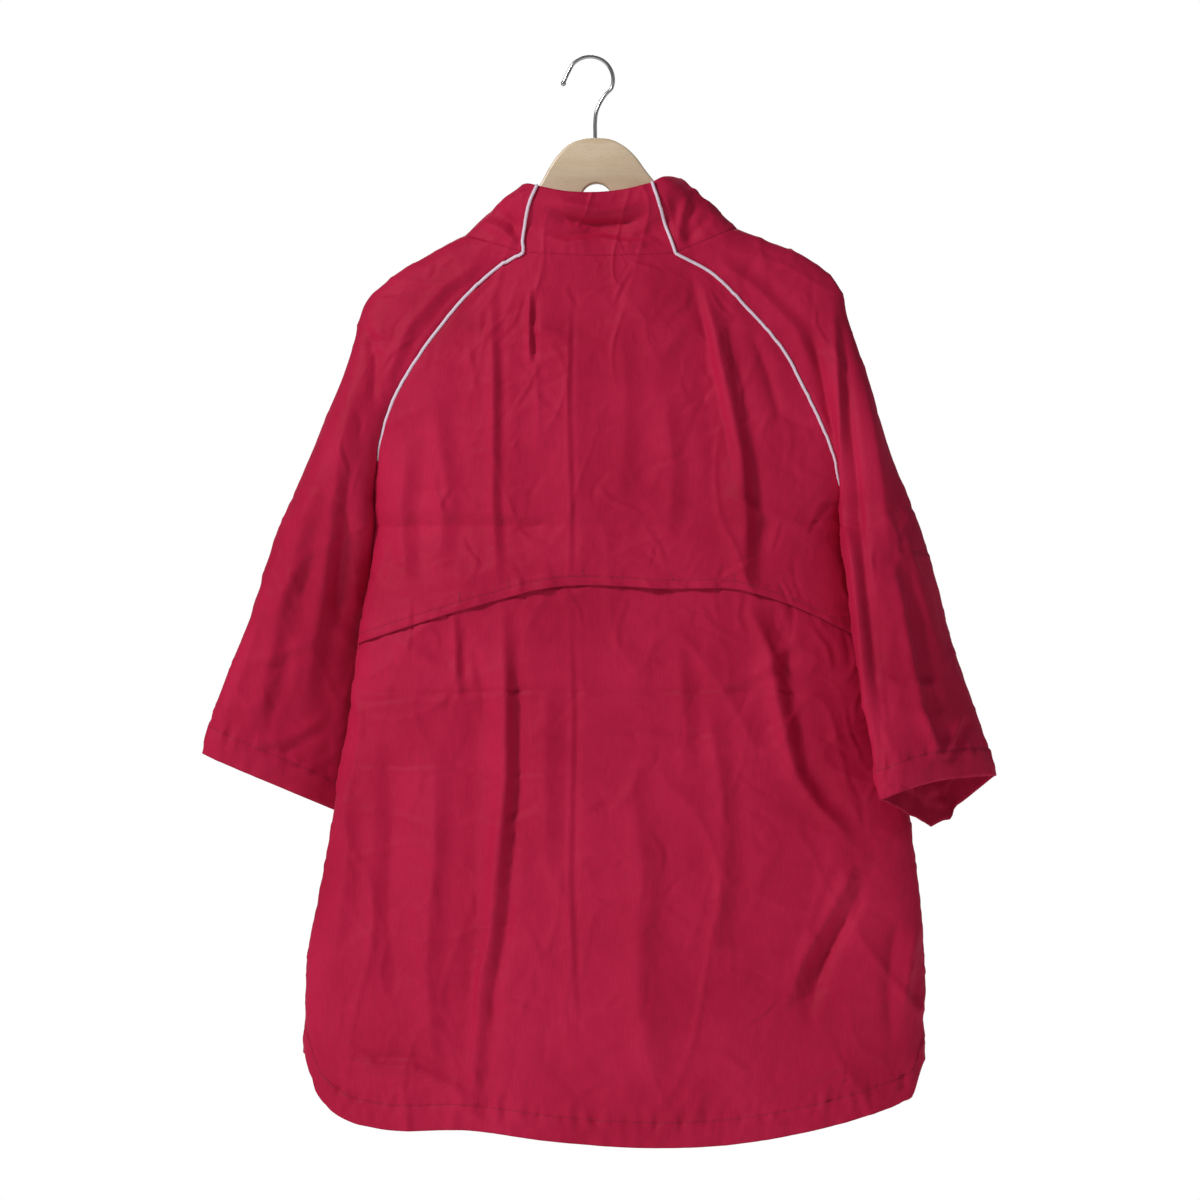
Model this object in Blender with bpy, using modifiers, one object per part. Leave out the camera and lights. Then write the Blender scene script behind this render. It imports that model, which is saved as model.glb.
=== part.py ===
"""An anorak pullover with raglan sleeves, hanging on a wooden hanger.

The garment is built from the pieces it is sewn from, each a cloth wall of its own.
+X is the wearer's right, +Y the garment's front, +Z up. The origin is the underside
of the hook's top bend, where a rail carries the hanger. Sizes here are millimetres.
"""

import math
from collections import namedtuple

import bmesh
import bpy
import numpy as np

MM = 0.001

# Cloth and seams
CLOTH = 1.5
SEAM_GAP = 0.6
LAYER_GAP = 0.4
BODY_COLUMNS = 18
SLEEVE_COLUMNS = 16
RAGLAN_ROWS = 12
SLEEVE_ROWS = 8
YOKE_TAIL_ROWS = 2
LOWER_BACK_ROWS = 10
FRONT_TAIL_ROWS = 11
FOLD_TAPER = 60.0
FOLD_MARGIN = 0.12
PANEL_FLATNESS = 0.62
SLEEVE_FLATNESS = 0.8

# Heights of the body
UNDERARM_Z = -455.0
NECK_SEAM_SAG = 3.0
YOKE_OVERLAP = 20.0
UNDER_YOKE_FADE = 60.0
FRONT_TAIL_LIFT = 18.0

# Neck opening at the front: the slit's two top corners and its lowest point
SLIT_COLUMNS = 4
SLIT_TOP_Z = -224.0
SLIT_BOTTOM_Z = -392.0
FRONT_CORNER_SHIFT = (14.0, -13.0)

# Piping
PIPING_RADIUS = 1.4
PIPING_LIFT = 0.5

# Hanger
WOOD_THICKNESS = 14.0
WOOD_EDGE_RADIUS = 3.0
WIRE_RADIUS = 1.8
SHANK_DEPTH = 20.0
SHANK_X = 5.0
SHANK_TOP_Z = -77.5
HOOK_RADIUS = 22.5
HOOK_ARC_DEG = (-28, 188)
BORE_ABOVE_WOOD = 12.0

# The body below the underarm: its two side lines, as x and y at each height.
BodyRow = namedtuple("BodyRow", "z left right left_y right_y")
BODY = [
    BodyRow(-455, -209, 244, 8, -12),
    BodyRow(-485, -211, 247, 5, -8),
    BodyRow(-540, -221, 260, -2, 3),
    BodyRow(-630, -233, 286, -7, 10),
    BodyRow(-720, -248, 309, -5, 8),
    BodyRow(-800, -261, 319, -2, 3),
    BodyRow(-870, -274, 324, 0, 0),
    BodyRow(-967, -277, 323, 0, 0),
]

DepthRow = namedtuple("DepthRow", "z back front")
DEPTH = [
    DepthRow(-190, 33, 36),
    DepthRow(-250, 37, 40),
    DepthRow(-330, 41, 44),
    DepthRow(-455, 45, 48),
    DepthRow(-600, 48, 51),
    DepthRow(-800, 54, 57),
    DepthRow(-1060, 60, 64),
]

HemPoint = namedtuple("HemPoint", "across z")
HEM = [
    HemPoint(0.000, -967),
    HemPoint(0.010, -988),
    HemPoint(0.020, -1003),
    HemPoint(0.040, -1018),
    HemPoint(0.070, -1030),
    HemPoint(0.115, -1037),
    HemPoint(0.270, -1039),
    HemPoint(0.400, -1049),
    HemPoint(0.545, -1055),
    HemPoint(0.690, -1052),
    HemPoint(0.850, -1035),
    HemPoint(0.920, -1023),
    HemPoint(0.965, -1013),
    HemPoint(0.985, -1004),
    HemPoint(1.000, -972),
]

YokeEdge = namedtuple("YokeEdge", "across z")
YOKE_EDGE = [
    YokeEdge(0.00, -569),
    YokeEdge(0.12, -549),
    YokeEdge(0.28, -526),
    YokeEdge(0.34, -518),
    YokeEdge(0.62, -516),
    YokeEdge(0.76, -518),
    YokeEdge(0.84, -530),
    YokeEdge(1.00, -566),
]

# A sleeve's stations run from the neck to the cuff. The first nine end on the raglan
# seams and the last is the cuff. open_deg is 90 where a row is a half arch and 0 where
# it closes into a ring. tilt drops the row's front half.
Station = namedtuple(
    "Station",
    "seam_x seam_z edge_x edge_z open_deg back front inner_y outer_y tilt",
)
RAGLAN_STATIONS = 8
LEFT_SLEEVE = [
    Station(-65, -190, -121, -173, 90, 31, 34, 0, 0, 0),
    Station(-90, -204, -153, -191, 86, 27, 30, 0, 0, 0),
    Station(-120, -231, -188, -211, 80, 24, 27, 0, 0, 0),
    Station(-153, -271, -216, -236, 72, 25, 28, 0, 0, 0),
    Station(-177, -306, -227, -268, 62, 29, 31, 0, 0, 0),
    Station(-194, -337, -241, -313, 50, 33, 34, 1, 0, 0),
    Station(-205, -375, -257, -355, 34, 36, 37, 3, 0, 0),
    Station(-209, -418, -271, -390, 16, 38, 38, 5, 1, 0),
    Station(-209, -455, -286, -426, 0, 38, 38, 8, 3, 0),
    Station(-209, -495, -305, -470, 0, 36, 38, 30, 6, -6),
    Station(-212, -585, -334, -550, 0, 35, 36, 62, 10, -12),
    Station(-208, -668, -358, -612, 0, 34, 35, 76, 14, -17),
    Station(-206, -752, -380, -676, 0, 34, 34, 84, 18, -22),
]
RIGHT_SLEEVE = [
    Station(83, -191, 144, -165, 90, 31, 34, 0, 0, 0),
    Station(120, -211, 178, -180, 86, 27, 30, 0, 0, 0),
    Station(155, -246, 214, -196, 80, 24, 27, 0, 0, 0),
    Station(187, -283, 241, -219, 72, 25, 28, 0, 0, 0),
    Station(209, -323, 253, -256, 62, 29, 31, 0, 0, 0),
    Station(226, -358, 268, -304, 50, 33, 34, -2, 0, 0),
    Station(238, -389, 282, -348, 34, 36, 36, -6, -1, 0),
    Station(244, -423, 295, -388, 16, 38, 38, -10, -3, 0),
    Station(244, -455, 309, -428, 0, 38, 38, -12, -5, 0),
    Station(246, -495, 326, -475, 0, 36, 34, -50, -8, 8),
    Station(256, -575, 350, -562, 0, 34, 32, -66, -12, 18),
    Station(268, -648, 374, -632, 0, 33, 31, -80, -16, 28),
    Station(276, -719, 395, -697, 0, 32, 31, -90, -20, 38),
]

# The collar's top edge, from its seam at the back round to its front end.
EdgePoint = namedtuple("EdgePoint", "along x y z")
LEFT_COLLAR_TOP = [
    EdgePoint(0.00, -50, -32, -126),
    EdgePoint(0.16, -60, -25, -124),
    EdgePoint(0.36, -75, -2, -131),
    EdgePoint(0.58, -80, 18, -143),
    EdgePoint(0.80, -66, 36, -158),
    EdgePoint(1.00, -44, 47, -170),
]
RIGHT_COLLAR_TOP = [
    EdgePoint(0.00, 59, -32, -123),
    EdgePoint(0.16, 71, -27, -117),
    EdgePoint(0.36, 88, -2, -118),
    EdgePoint(0.58, 98, 18, -132),
    EdgePoint(0.80, 86, 36, -154),
    EdgePoint(1.00, 64, 47, -170),
]
BACK_COLLAR_TOP = [
    EdgePoint(0.00, -50, -32, -126),
    EdgePoint(0.25, -24, -33, -131),
    EdgePoint(0.50, 5, -33, -132),
    EdgePoint(0.75, 34, -33, -129),
    EdgePoint(1.00, 59, -32, -123),
]
COLLAR_ROWS = 5
COLLAR_BULGE = 3.0
COLLAR_BULGE_START = 0.25
COLLAR_SEAM_LIFT = 0.6
PIPING_ROWS = {"back_left": 9, "back_right": 9, "front_left": 9, "front_right": 9}

# Long folds of the back: a line from (x0, z0) to (x1, z1) with a half width and how far
# it stands out. A negative height is a trough.
Fold = namedtuple("Fold", "x0 z0 x1 z1 half_width height")
BACK_FOLDS = [
    Fold(-92, -240, -88, -520, 13, 3.5),
    Fold(-86, -560, -88, -840, 16, 4.5),
    Fold(-108, -600, -112, -1000, 15, -4.0),
    Fold(-88, -840, -110, -1010, 13, 4.0),
    Fold(-20, -250, -20, -520, 12, 2.5),
    Fold(118, -230, 152, -540, 16, 4.5),
    Fold(100, -250, 134, -450, 12, -3.5),
    Fold(160, -540, 214, -720, 16, 4.5),
    Fold(206, -740, 262, -790, 14, 3.0),
    Fold(240, -800, 200, -930, 18, -4.0),
    Fold(-190, -640, -180, -930, 20, -4.0),
    Fold(40, -700, 60, -1000, 26, 3.5),
]
FRONT_FOLDS = [
    Fold(-110, -330, -120, -640, 15, 4.0),
    Fold(-60, -520, -70, -960, 18, -4.0),
    Fold(20, -470, 10, -900, 20, 4.0),
    Fold(90, -400, 110, -760, 16, 4.0),
    Fold(150, -560, 190, -960, 20, -4.0),
    Fold(-170, -600, -190, -940, 20, 4.0),
]

Point = namedtuple("Point", "x z")
WOOD_TOP = [
    Point(-205, -229), Point(-196, -221), Point(-153, -196), Point(-121, -178),
    Point(-95, -163), Point(-72, -147), Point(-58, -133), Point(-49, -123),
    Point(-40, -107), Point(-31, -94), Point(-19, -83), Point(-6, -78.5),
    Point(7, -77.7), Point(20, -79), Point(33, -85.5), Point(44, -95.5),
    Point(54, -109), Point(63, -120), Point(76, -132), Point(95, -146),
    Point(120, -158), Point(144, -170), Point(178, -185), Point(214, -201),
    Point(232, -212),
]
# Colour, roughness and metallic value of each finish
FINISHES = {
    "shell_cloth": ((0.40, 0.018, 0.050), 0.55, 0.0),
    "piping": ((0.78, 0.60, 0.74), 0.6, 0.0),
    "wood": ((0.60, 0.43, 0.25), 0.45, 0.0),
    "wire": ((0.45, 0.45, 0.46), 0.2, 1.0),
}

WOOD_ARM_HEIGHT = 17.0
WOOD_ROOT_HEIGHT = 36.0
ARCH_X = 6.5
ARCH_TOP_Z = -122.0
ARCH_RADIUS = 15.0
ARCH_FOOT_Z = -158.0


def smooth(places, values, at):
    """Cubic curve through (places, values), read at the given places."""
    places = np.asarray(places, float)
    values = np.asarray(values, float)
    slopes = np.gradient(values, places)
    at = np.clip(np.asarray(at, float), places[0], places[-1])
    index = np.clip(np.searchsorted(places, at, side="right") - 1, 0, len(places) - 2)
    step = places[index + 1] - places[index]
    part = (at - places[index]) / step
    start = (1 + 2 * part) * (1 - part) ** 2
    end = part**2 * (3 - 2 * part)
    leave = part * (1 - part) ** 2 * step
    arrive = part**2 * (part - 1) * step
    return (
        values[index] * start
        + values[index + 1] * end
        + slopes[index] * leave
        + slopes[index + 1] * arrive
    )


def by_height(table, column, z):
    """A column of a table whose rows go down in z, at height z."""
    heights = [-row.z for row in table]
    return smooth(heights, [getattr(row, column) for row in table], -np.asarray(z, float))


def along(table, place, column, at):
    return smooth([getattr(row, place) for row in table], [getattr(row, column) for row in table], at)


def ease(part):
    part = np.clip(part, 0, 1)
    return part * part * (3 - 2 * part)


def sleeve_point(table, station, turn):
    """Point of a sleeve. turn is 0 on the back seam, 0.5 on the outer edge, 1 in front."""
    places = range(len(table))
    row = Station(*[smooth(places, [s[i] for s in table], station) for i in range(len(Station._fields))])
    outward = math.copysign(1, table[0].seam_x)
    shift = np.clip(1 - station / RAGLAN_STATIONS, 0, 1)
    front = turn > 0.5
    seam_x = row.seam_x + front * shift * outward * FRONT_CORNER_SHIFT[0]
    seam_z = row.seam_z + front * shift * FRONT_CORNER_SHIFT[1]
    opening = np.radians(np.clip(row.open_deg, 0, 90))
    half = np.where(front, 2 * (1 - turn), 2 * turn)
    angle = opening + (math.pi - opening) * half
    part = (np.cos(opening) - np.cos(angle)) / (np.cos(opening) + 1)
    swell = np.clip(np.sin(angle), 0, 1) ** SLEEVE_FLATNESS
    middle = row.inner_y + (row.outer_y - row.inner_y) * part
    x = seam_x + (row.edge_x - seam_x) * part
    y = middle + np.where(front, row.front, -row.back) * swell
    z = seam_z + (row.edge_z - seam_z) * part - front * row.tilt * swell
    return np.stack([x, y, z], axis=-1)


def fold_height(folds, x, z):
    """How far the cloth stands out of its plain form at (x, z)."""
    total = np.zeros_like(x)
    for fold in folds:
        run = np.array([fold.x1 - fold.x0, fold.z1 - fold.z0])
        length = np.hypot(*run)
        run = run / length
        forward = (x - fold.x0) * run[0] + (z - fold.z0) * run[1]
        aside = (x - fold.x0) * run[1] - (z - fold.z0) * run[0]
        taper = ease(forward / FOLD_TAPER) * ease((length - forward) / FOLD_TAPER)
        total += fold.height * taper * np.exp(-((aside / fold.half_width) ** 2))
    return total


def raglan_rows(stations, columns, front):
    """Rows of the back or front between the two raglan seams."""
    turn = np.full_like(stations, 1.0 if front else 0.0)
    sign = 1 if front else -1
    left = sleeve_point(LEFT_SLEEVE, stations, turn)
    right = sleeve_point(RIGHT_SLEEVE, stations, turn)
    depth = by_height(DEPTH, "front" if front else "back", (left[:, 2] + right[:, 2]) / 2)
    start = np.clip(sign * left[:, 1] / depth, 0, 1) ** (1 / PANEL_FLATNESS)
    end = np.clip(sign * right[:, 1] / depth, 0, 1) ** (1 / PANEL_FLATNESS)
    first = np.arcsin(start)[:, None]
    last = math.pi - np.arcsin(end)[:, None]
    angle = first + (last - first) * columns
    across = (np.cos(first) - np.cos(angle)) / (np.cos(first) - np.cos(last))
    swell = np.clip(np.sin(angle), 0, 1) ** PANEL_FLATNESS
    plain = swell[:, :1] * (1 - across) + swell[:, -1:] * across
    points = left[:, None, :] * (1 - across)[..., None] + right[:, None, :] * across[..., None]
    points[..., 1] += sign * depth[:, None] * (swell - plain)
    return points, across


def side_seam_rows(z, columns, front):
    """Rows between the two side seams, at the heights z of each row and column."""
    sign = 1 if front else -1
    angle = math.pi * columns
    across = part_across(columns)
    left = [by_height(BODY, name, z[:, 0])[:, None] for name in ("left", "left_y")]
    right = [by_height(BODY, name, z[:, -1])[:, None] for name in ("right", "right_y")]
    depth = by_height(DEPTH, "front" if front else "back", z)
    x = left[0] * (1 - across) + right[0] * across
    y = left[1] * (1 - across) + right[1] * across
    y = y + sign * depth * np.clip(np.sin(angle), 0, 1) ** PANEL_FLATNESS
    return np.stack([x, y, z], axis=-1), np.broadcast_to(across, z.shape)


def part_across(columns):
    """How far across a row its columns lie: close together at the rounded sides."""
    return (1 - np.cos(math.pi * columns)) / 2


def heights_between(top, bottom, rows):
    """Heights of evenly spaced rows after the line top, down to the line bottom."""
    parts = np.linspace(0, 1, rows + 1)[1:, None]
    return top * (1 - parts) + bottom * parts


def with_folds(points, across, folds, sign):
    """Moves the points out of the plain form, less near the side seams."""
    inside = ease(np.minimum(across, 1 - across) / FOLD_MARGIN)
    moved = points.copy()
    moved[..., 1] += sign * inside * fold_height(folds, points[..., 0], points[..., 2])
    return moved


def yoke_edge(across):
    return along(YOKE_EDGE, "across", "z", across)


def back_hem(across):
    return along(HEM, "across", "z", across)


def front_hem(across):
    lift = FRONT_TAIL_LIFT * ease(np.minimum(across, 1 - across) / 0.08)
    return back_hem(across) + lift


def yoke_grid(columns):
    stations = np.linspace(0, RAGLAN_STATIONS, RAGLAN_ROWS + 1)
    upper, upper_across = raglan_rows(stations, columns, front=False)
    sag = NECK_SEAM_SAG * 4 * upper_across * (1 - upper_across)
    upper[..., 2] -= sag * ease(1 - stations / RAGLAN_STATIONS)[:, None]
    edge = yoke_edge(part_across(columns))
    z = np.vstack([heights_between(UNDERARM_Z, edge + YOKE_OVERLAP, YOKE_TAIL_ROWS), edge])
    lower, lower_across = side_seam_rows(z, columns, front=False)
    across = np.concatenate([upper_across, lower_across])
    return with_folds(np.concatenate([upper, lower]), across, BACK_FOLDS, -1)


def lower_back_grid(columns):
    across = part_across(columns)
    edge = yoke_edge(across)
    z = np.vstack([edge + YOKE_OVERLAP, edge, heights_between(edge, back_hem(across), LOWER_BACK_ROWS)])
    points, across = side_seam_rows(z, columns, front=False)
    return with_folds(points, across, BACK_FOLDS, -1)


def neckline_z(points):
    """Height of the front's top edge at each column: two neck edges and the slit."""
    last = len(points) - 1
    middle = last // 2
    heights = points[:, 2].copy()
    corners = (0, SLIT_COLUMNS, middle, last - SLIT_COLUMNS, last)
    x = [points[j, 0] for j in corners]
    z = [heights[0], SLIT_TOP_Z, SLIT_BOTTOM_Z, SLIT_TOP_Z, heights[-1]]
    return np.interp(points[:, 0], x, z)


def front_grid(columns):
    stations = np.linspace(0, RAGLAN_STATIONS, RAGLAN_ROWS + 1)
    upper, upper_across = raglan_rows(stations, columns, front=True)
    rise = (upper[:, :, 2] - UNDERARM_Z) / (upper[:1, :, 2] - UNDERARM_Z)
    upper[..., 2] = UNDERARM_Z + (neckline_z(upper[0]) - UNDERARM_Z) * rise
    z = heights_between(UNDERARM_Z, front_hem(part_across(columns)), FRONT_TAIL_ROWS)
    lower, lower_across = side_seam_rows(z, columns, front=True)
    across = np.concatenate([upper_across, lower_across])
    return with_folds(np.concatenate([upper, lower]), across, FRONT_FOLDS, 1)


def sleeve_grid(table, turns):
    raglan = np.linspace(0, RAGLAN_STATIONS, RAGLAN_ROWS + 1)
    tube = np.linspace(RAGLAN_STATIONS, len(table) - 1, SLEEVE_ROWS + 1)[1:]
    stations = np.concatenate([raglan, tube])
    return sleeve_point(table, stations[:, None], turns[None, :])


def collar_grid(base, top, bulge):
    """Rows from the neck seam, whose points are base, up to the top edge."""
    lengths = np.linalg.norm(np.diff(base, axis=0), axis=1)
    place = np.concatenate([[0], np.cumsum(lengths)]) / lengths.sum()
    edge = np.stack([along(top, "along", name, place) for name in "xyz"], axis=-1)
    part = np.linspace(0, 1, COLLAR_ROWS)[:, None, None]
    points = base[None] * (1 - part) + edge[None] * part
    middle = base.mean(axis=0)
    outward = base - middle
    outward[:, 2] = 0
    outward /= np.linalg.norm(outward, axis=1, keepdims=True)
    swell = ease(place / COLLAR_BULGE_START)[None, :, None]
    return points + bulge * swell * np.sin(math.pi * part) * outward[None]


def normals_of(points, facing):
    """Unit normals of a grid. facing is a point on the side they point to, or away from."""
    normals = np.cross(np.gradient(points, axis=0), np.gradient(points, axis=1))
    normals /= np.maximum(np.linalg.norm(normals, axis=-1, keepdims=True), 1e-9)
    outward = np.sum(normals * (points - facing), axis=-1).mean()
    return normals if outward > 0 else -normals


def unit(vectors):
    return vectors / np.maximum(np.linalg.norm(vectors, axis=-1, keepdims=True), 1e-9)


def set_back(points, column, raglan_last, sign, closes=True):
    """Moves one edge column half a seam gap off its seam, towards its own piece.

    Down to row raglan_last the seam lies across the front view, and the piece draws back
    in that plane. Below it the seam joins a back to a front, and the piece draws back
    along y, to the side that sign gives.
    """
    line = points[:, column]
    inner = points[:, points.shape[1] // 3 if column == 0 else -points.shape[1] // 3]
    seam = unit(np.gradient(line, axis=0) * (1, 0, 1))
    towards = (inner - line) * (1, 0, 1)
    towards = unit(towards - np.sum(towards * seam, axis=1, keepdims=True) * seam)
    rows = np.arange(len(line))
    move = np.where((rows <= raglan_last)[:, None], towards, 0)
    move[rows >= raglan_last] += (0, sign, 0)
    points[:, column] += SEAM_GAP / 2 * move


def wall(name, points, normals, colour, sunk=0.0):
    """Builds a cloth piece: outer face on the points, sunk by the given depth."""
    depth = np.broadcast_to(np.asarray(sunk, float), points.shape[:2])[..., None]
    return cloth_object(name, points - normals * depth, points - normals * (depth + CLOTH), colour)


def cloth_object(name, outer, inner, colour):
    """A wall between two grids of points, closed along its four edges."""
    rows, columns = outer.shape[:2]
    shape = bmesh.new()
    outside = [[shape.verts.new(outer[i, j] * MM) for j in range(columns)] for i in range(rows)]
    inside = [[shape.verts.new(inner[i, j] * MM) for j in range(columns)] for i in range(rows)]
    for side in (outside, inside):
        for i in range(rows - 1):
            for j in range(columns - 1):
                shape.faces.new((side[i][j], side[i][j + 1], side[i + 1][j + 1], side[i + 1][j]))
    for i in range(rows - 1):
        for j in (0, columns - 1):
            shape.faces.new((outside[i][j], outside[i + 1][j], inside[i + 1][j], inside[i][j]))
    for j in range(columns - 1):
        for i in (0, rows - 1):
            shape.faces.new((outside[i][j], inside[i][j], inside[i][j + 1], outside[i][j + 1]))
    bmesh.ops.triangulate(shape, faces=shape.faces[:])
    bmesh.ops.recalc_face_normals(shape, faces=shape.faces[:])
    mesh = bpy.data.meshes.new(name)
    shape.to_mesh(mesh)
    shape.free()
    mesh.shade_smooth()
    return add_object(name, mesh, colour)


def material(name):
    """The named finish, made once."""
    if name in bpy.data.materials:
        return bpy.data.materials[name]
    colour, roughness, metallic = FINISHES[name]
    made = bpy.data.materials.new(name)
    made.use_nodes = True
    shader = made.node_tree.nodes["Principled BSDF"]
    shader.inputs["Base Color"].default_value = (*colour, 1)
    shader.inputs["Roughness"].default_value = roughness
    shader.inputs["Metallic"].default_value = metallic
    return made


def add_object(name, data, finish):
    made = bpy.data.objects.new(name, data)
    data.materials.append(material(finish))
    garment.objects.link(made)
    return made


def piping(name, points, normals):
    """A round cord that lies along a seam, on the outer faces of the two pieces."""
    curve = bpy.data.curves.new(name, "CURVE")
    curve.dimensions = "3D"
    curve.bevel_depth = PIPING_RADIUS * MM
    curve.bevel_resolution = 1
    curve.use_fill_caps = True
    spline = curve.splines.new("POLY")
    spline.points.add(len(points) - 1)
    for point, place in zip(spline.points, points + normals * (PIPING_RADIUS + PIPING_LIFT)):
        point.co = (*(place * MM), 1)
    return add_object(name, curve, "piping")


def make_sheets():
    """Points and normals of every cloth piece, before the seams are opened."""
    columns = np.linspace(0, 1, BODY_COLUMNS + 1)
    turns = np.linspace(0, 1, SLEEVE_COLUMNS + 1)
    points = {
        "back_yoke": yoke_grid(columns),
        "back_panel": lower_back_grid(columns),
        "front_panel": front_grid(columns),
        "sleeve_left": sleeve_grid(LEFT_SLEEVE, turns),
        "sleeve_right": sleeve_grid(RIGHT_SLEEVE, turns),
    }
    front = points["front_panel"][0]
    slit = SLIT_COLUMNS + 1
    bases = {
        "collar_left": np.concatenate([points["sleeve_left"][0], front[1:slit]]),
        "collar_right": np.concatenate([points["sleeve_right"][0], front[-2:-slit - 1:-1]]),
        "collar_back": points["back_yoke"][0],
    }
    tops = {
        "collar_left": LEFT_COLLAR_TOP,
        "collar_right": RIGHT_COLLAR_TOP,
        "collar_back": BACK_COLLAR_TOP,
    }
    for name, base in bases.items():
        bulge = 0 if name == "collar_back" else COLLAR_BULGE
        points[name] = collar_grid(base + np.array([0, 0, COLLAR_SEAM_LIFT]), tops[name], bulge)
    normals = {name: normals_of(grid, inside_point(name, grid)) for name, grid in points.items()}
    for name in ("back_yoke", "back_panel", "front_panel"):
        first = 0 if name == "back_panel" else RAGLAN_ROWS
        for column in (0, -1):
            normals[name][first:, column, 1] = 0
            normals[name][first:, column] = unit(normals[name][first:, column])
    raglan = slice(0, RAGLAN_ROWS)
    for side, edge in (("left", 0), ("right", -1)):
        sleeve = normals[f"sleeve_{side}"]
        share(normals["back_yoke"][raglan, edge], sleeve[raglan, 0])
        share(normals["front_panel"][raglan, edge], sleeve[raglan, -1])
        share(normals["collar_back"][:, edge], normals[f"collar_{side}"][:, 0])
    return points, normals


def inside_point(name, grid):
    """A place, or one for each row, that a piece's outer face looks away from."""
    if name.startswith("sleeve"):
        return grid.mean(axis=1, keepdims=True)
    if name.startswith("collar"):
        return np.array([10.0, 0.0, -160.0])
    return np.array([15.0, 0.0, -600.0])


def share(one, other):
    """Gives two pieces their mean normal along a seam, where they don't fold on each other."""
    mean = unit(one + other)
    alike = ease((np.sum(one * other, axis=-1, keepdims=True) - 0.1) / 0.5)
    one[:] = unit(one * (1 - alike) + mean * alike)
    other[:] = unit(other * (1 - alike) + mean * alike)


def build_body(sheets, sheet_normals):
    columns = np.linspace(0, 1, BODY_COLUMNS + 1)
    below_edge = yoke_edge(part_across(columns)) - sheets["back_panel"][..., 2]
    beneath = 1 - ease(below_edge / UNDER_YOKE_FADE)
    for name in ("back_yoke", "back_panel", "front_panel"):
        points = sheets[name].copy()
        sign = 1 if name == "front_panel" else -1
        raglan_last = -1 if name == "back_panel" else RAGLAN_ROWS
        for column in (0, -1):
            set_back(points, column, raglan_last, sign)
        sunk = beneath * (CLOTH + LAYER_GAP) if name == "back_panel" else 0.0
        wall(name, points, sheet_normals[name], "shell_cloth", sunk)


def build_sleeves(sheets, sheet_normals):
    for name in ("sleeve_left", "sleeve_right"):
        points = sheets[name].copy()
        set_back(points, 0, RAGLAN_ROWS, -1)
        set_back(points, -1, RAGLAN_ROWS, 1)
        wall(name, points, sheet_normals[name], "shell_cloth")


def build_collar(sheets, sheet_normals):
    half = SEAM_GAP / 2
    ends = {"collar_left": (-half, 0), "collar_back": (half, -half), "collar_right": (half, 0)}
    for name, (first, last) in ends.items():
        points = sheets[name].copy()
        points[:, 0, 0] += first
        points[:, -1, 0] += last
        wall(name, points, sheet_normals[name], "shell_cloth")


def build_piping(sheets, sheet_normals):
    for side in ("left", "right"):
        sleeve = sheets[f"sleeve_{side}"]
        outward = sheet_normals[f"sleeve_{side}"]
        for face, column in (("back", 0), ("front", -1)):
            rows = slice(0, PIPING_ROWS[f"{face}_{side}"])
            piping(f"piping_raglan_{face}_{side}", sleeve[rows, column], outward[rows, column])
        seam = sheets[f"collar_{side}"][:, 0].copy()
        seam[0, 2] += 2 * PIPING_RADIUS
        piping(f"piping_collar_{side}", seam, sheet_normals[f"collar_{side}"][:, 0])


def build_wood():
    """The hanger's flat outline, thickened and rounded, with a bore for the hook's shank."""
    top = [(point.x, point.z) for point in WOOD_TOP]
    left_end, right_end = top[0], top[-1]
    foot = ARCH_RADIUS
    arch = [
        (ARCH_X + foot * math.cos(turn), ARCH_TOP_Z - foot + foot * math.sin(turn))
        for turn in np.linspace(0, math.pi, 9)
    ]
    bottom = [
        (right_end[0] - 1, right_end[1] - WOOD_ARM_HEIGHT),
        (144, -170 - WOOD_ROOT_HEIGHT * 0.7),
        (60, -120 - WOOD_ROOT_HEIGHT - 4),
        (ARCH_X + foot, ARCH_FOOT_Z),
        *arch,
        (ARCH_X - foot, ARCH_FOOT_Z),
        (-46, -120 - WOOD_ROOT_HEIGHT - 4),
        (-121, -178 - WOOD_ROOT_HEIGHT * 0.7),
        (left_end[0] + 1, left_end[1] - WOOD_ARM_HEIGHT),
    ]
    shape = bmesh.new()
    half = WOOD_THICKNESS / 2
    ring = [shape.verts.new((x * MM, -half * MM, z * MM)) for x, z in top + bottom]
    face = shape.faces.new(ring)
    grown = bmesh.ops.extrude_face_region(shape, geom=[face])
    moved = [item for item in grown["geom"] if isinstance(item, bmesh.types.BMVert)]
    bmesh.ops.translate(shape, verts=moved, vec=(0, WOOD_THICKNESS * MM, 0))
    bmesh.ops.recalc_face_normals(shape, faces=shape.faces[:])
    mesh = bpy.data.meshes.new("hanger_wood")
    shape.to_mesh(mesh)
    shape.free()
    wood = add_object("hanger_wood", mesh, "wood")
    rounding = wood.modifiers.new("rounding", "BEVEL")
    rounding.width = WOOD_EDGE_RADIUS * MM
    rounding.segments = 2
    rounding.angle_limit = math.radians(60)
    bore = wood.modifiers.new("bore", "BOOLEAN")
    bore.operation = "DIFFERENCE"
    bore.object = shank_cutter()


def shank_cutter():
    """A rod that bores the shank's hole, from above the wood to just below the shank."""
    depth = SHANK_DEPTH + 1 + BORE_ABOVE_WOOD
    bpy.ops.mesh.primitive_cylinder_add(
        vertices=16,
        radius=(WIRE_RADIUS + LAYER_GAP) * MM,
        depth=depth * MM,
        location=(SHANK_X * MM, 0, (SHANK_TOP_Z + BORE_ABOVE_WOOD - depth / 2) * MM),
    )
    cutter = bpy.context.object
    cutter.name = "shank_cutter"
    cutter.hide_render = True
    cutter.display_type = "WIRE"
    cutters.objects.link(cutter)
    for holder in list(cutter.users_collection):
        if holder != cutters:
            holder.objects.unlink(cutter)
    return cutter


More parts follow.
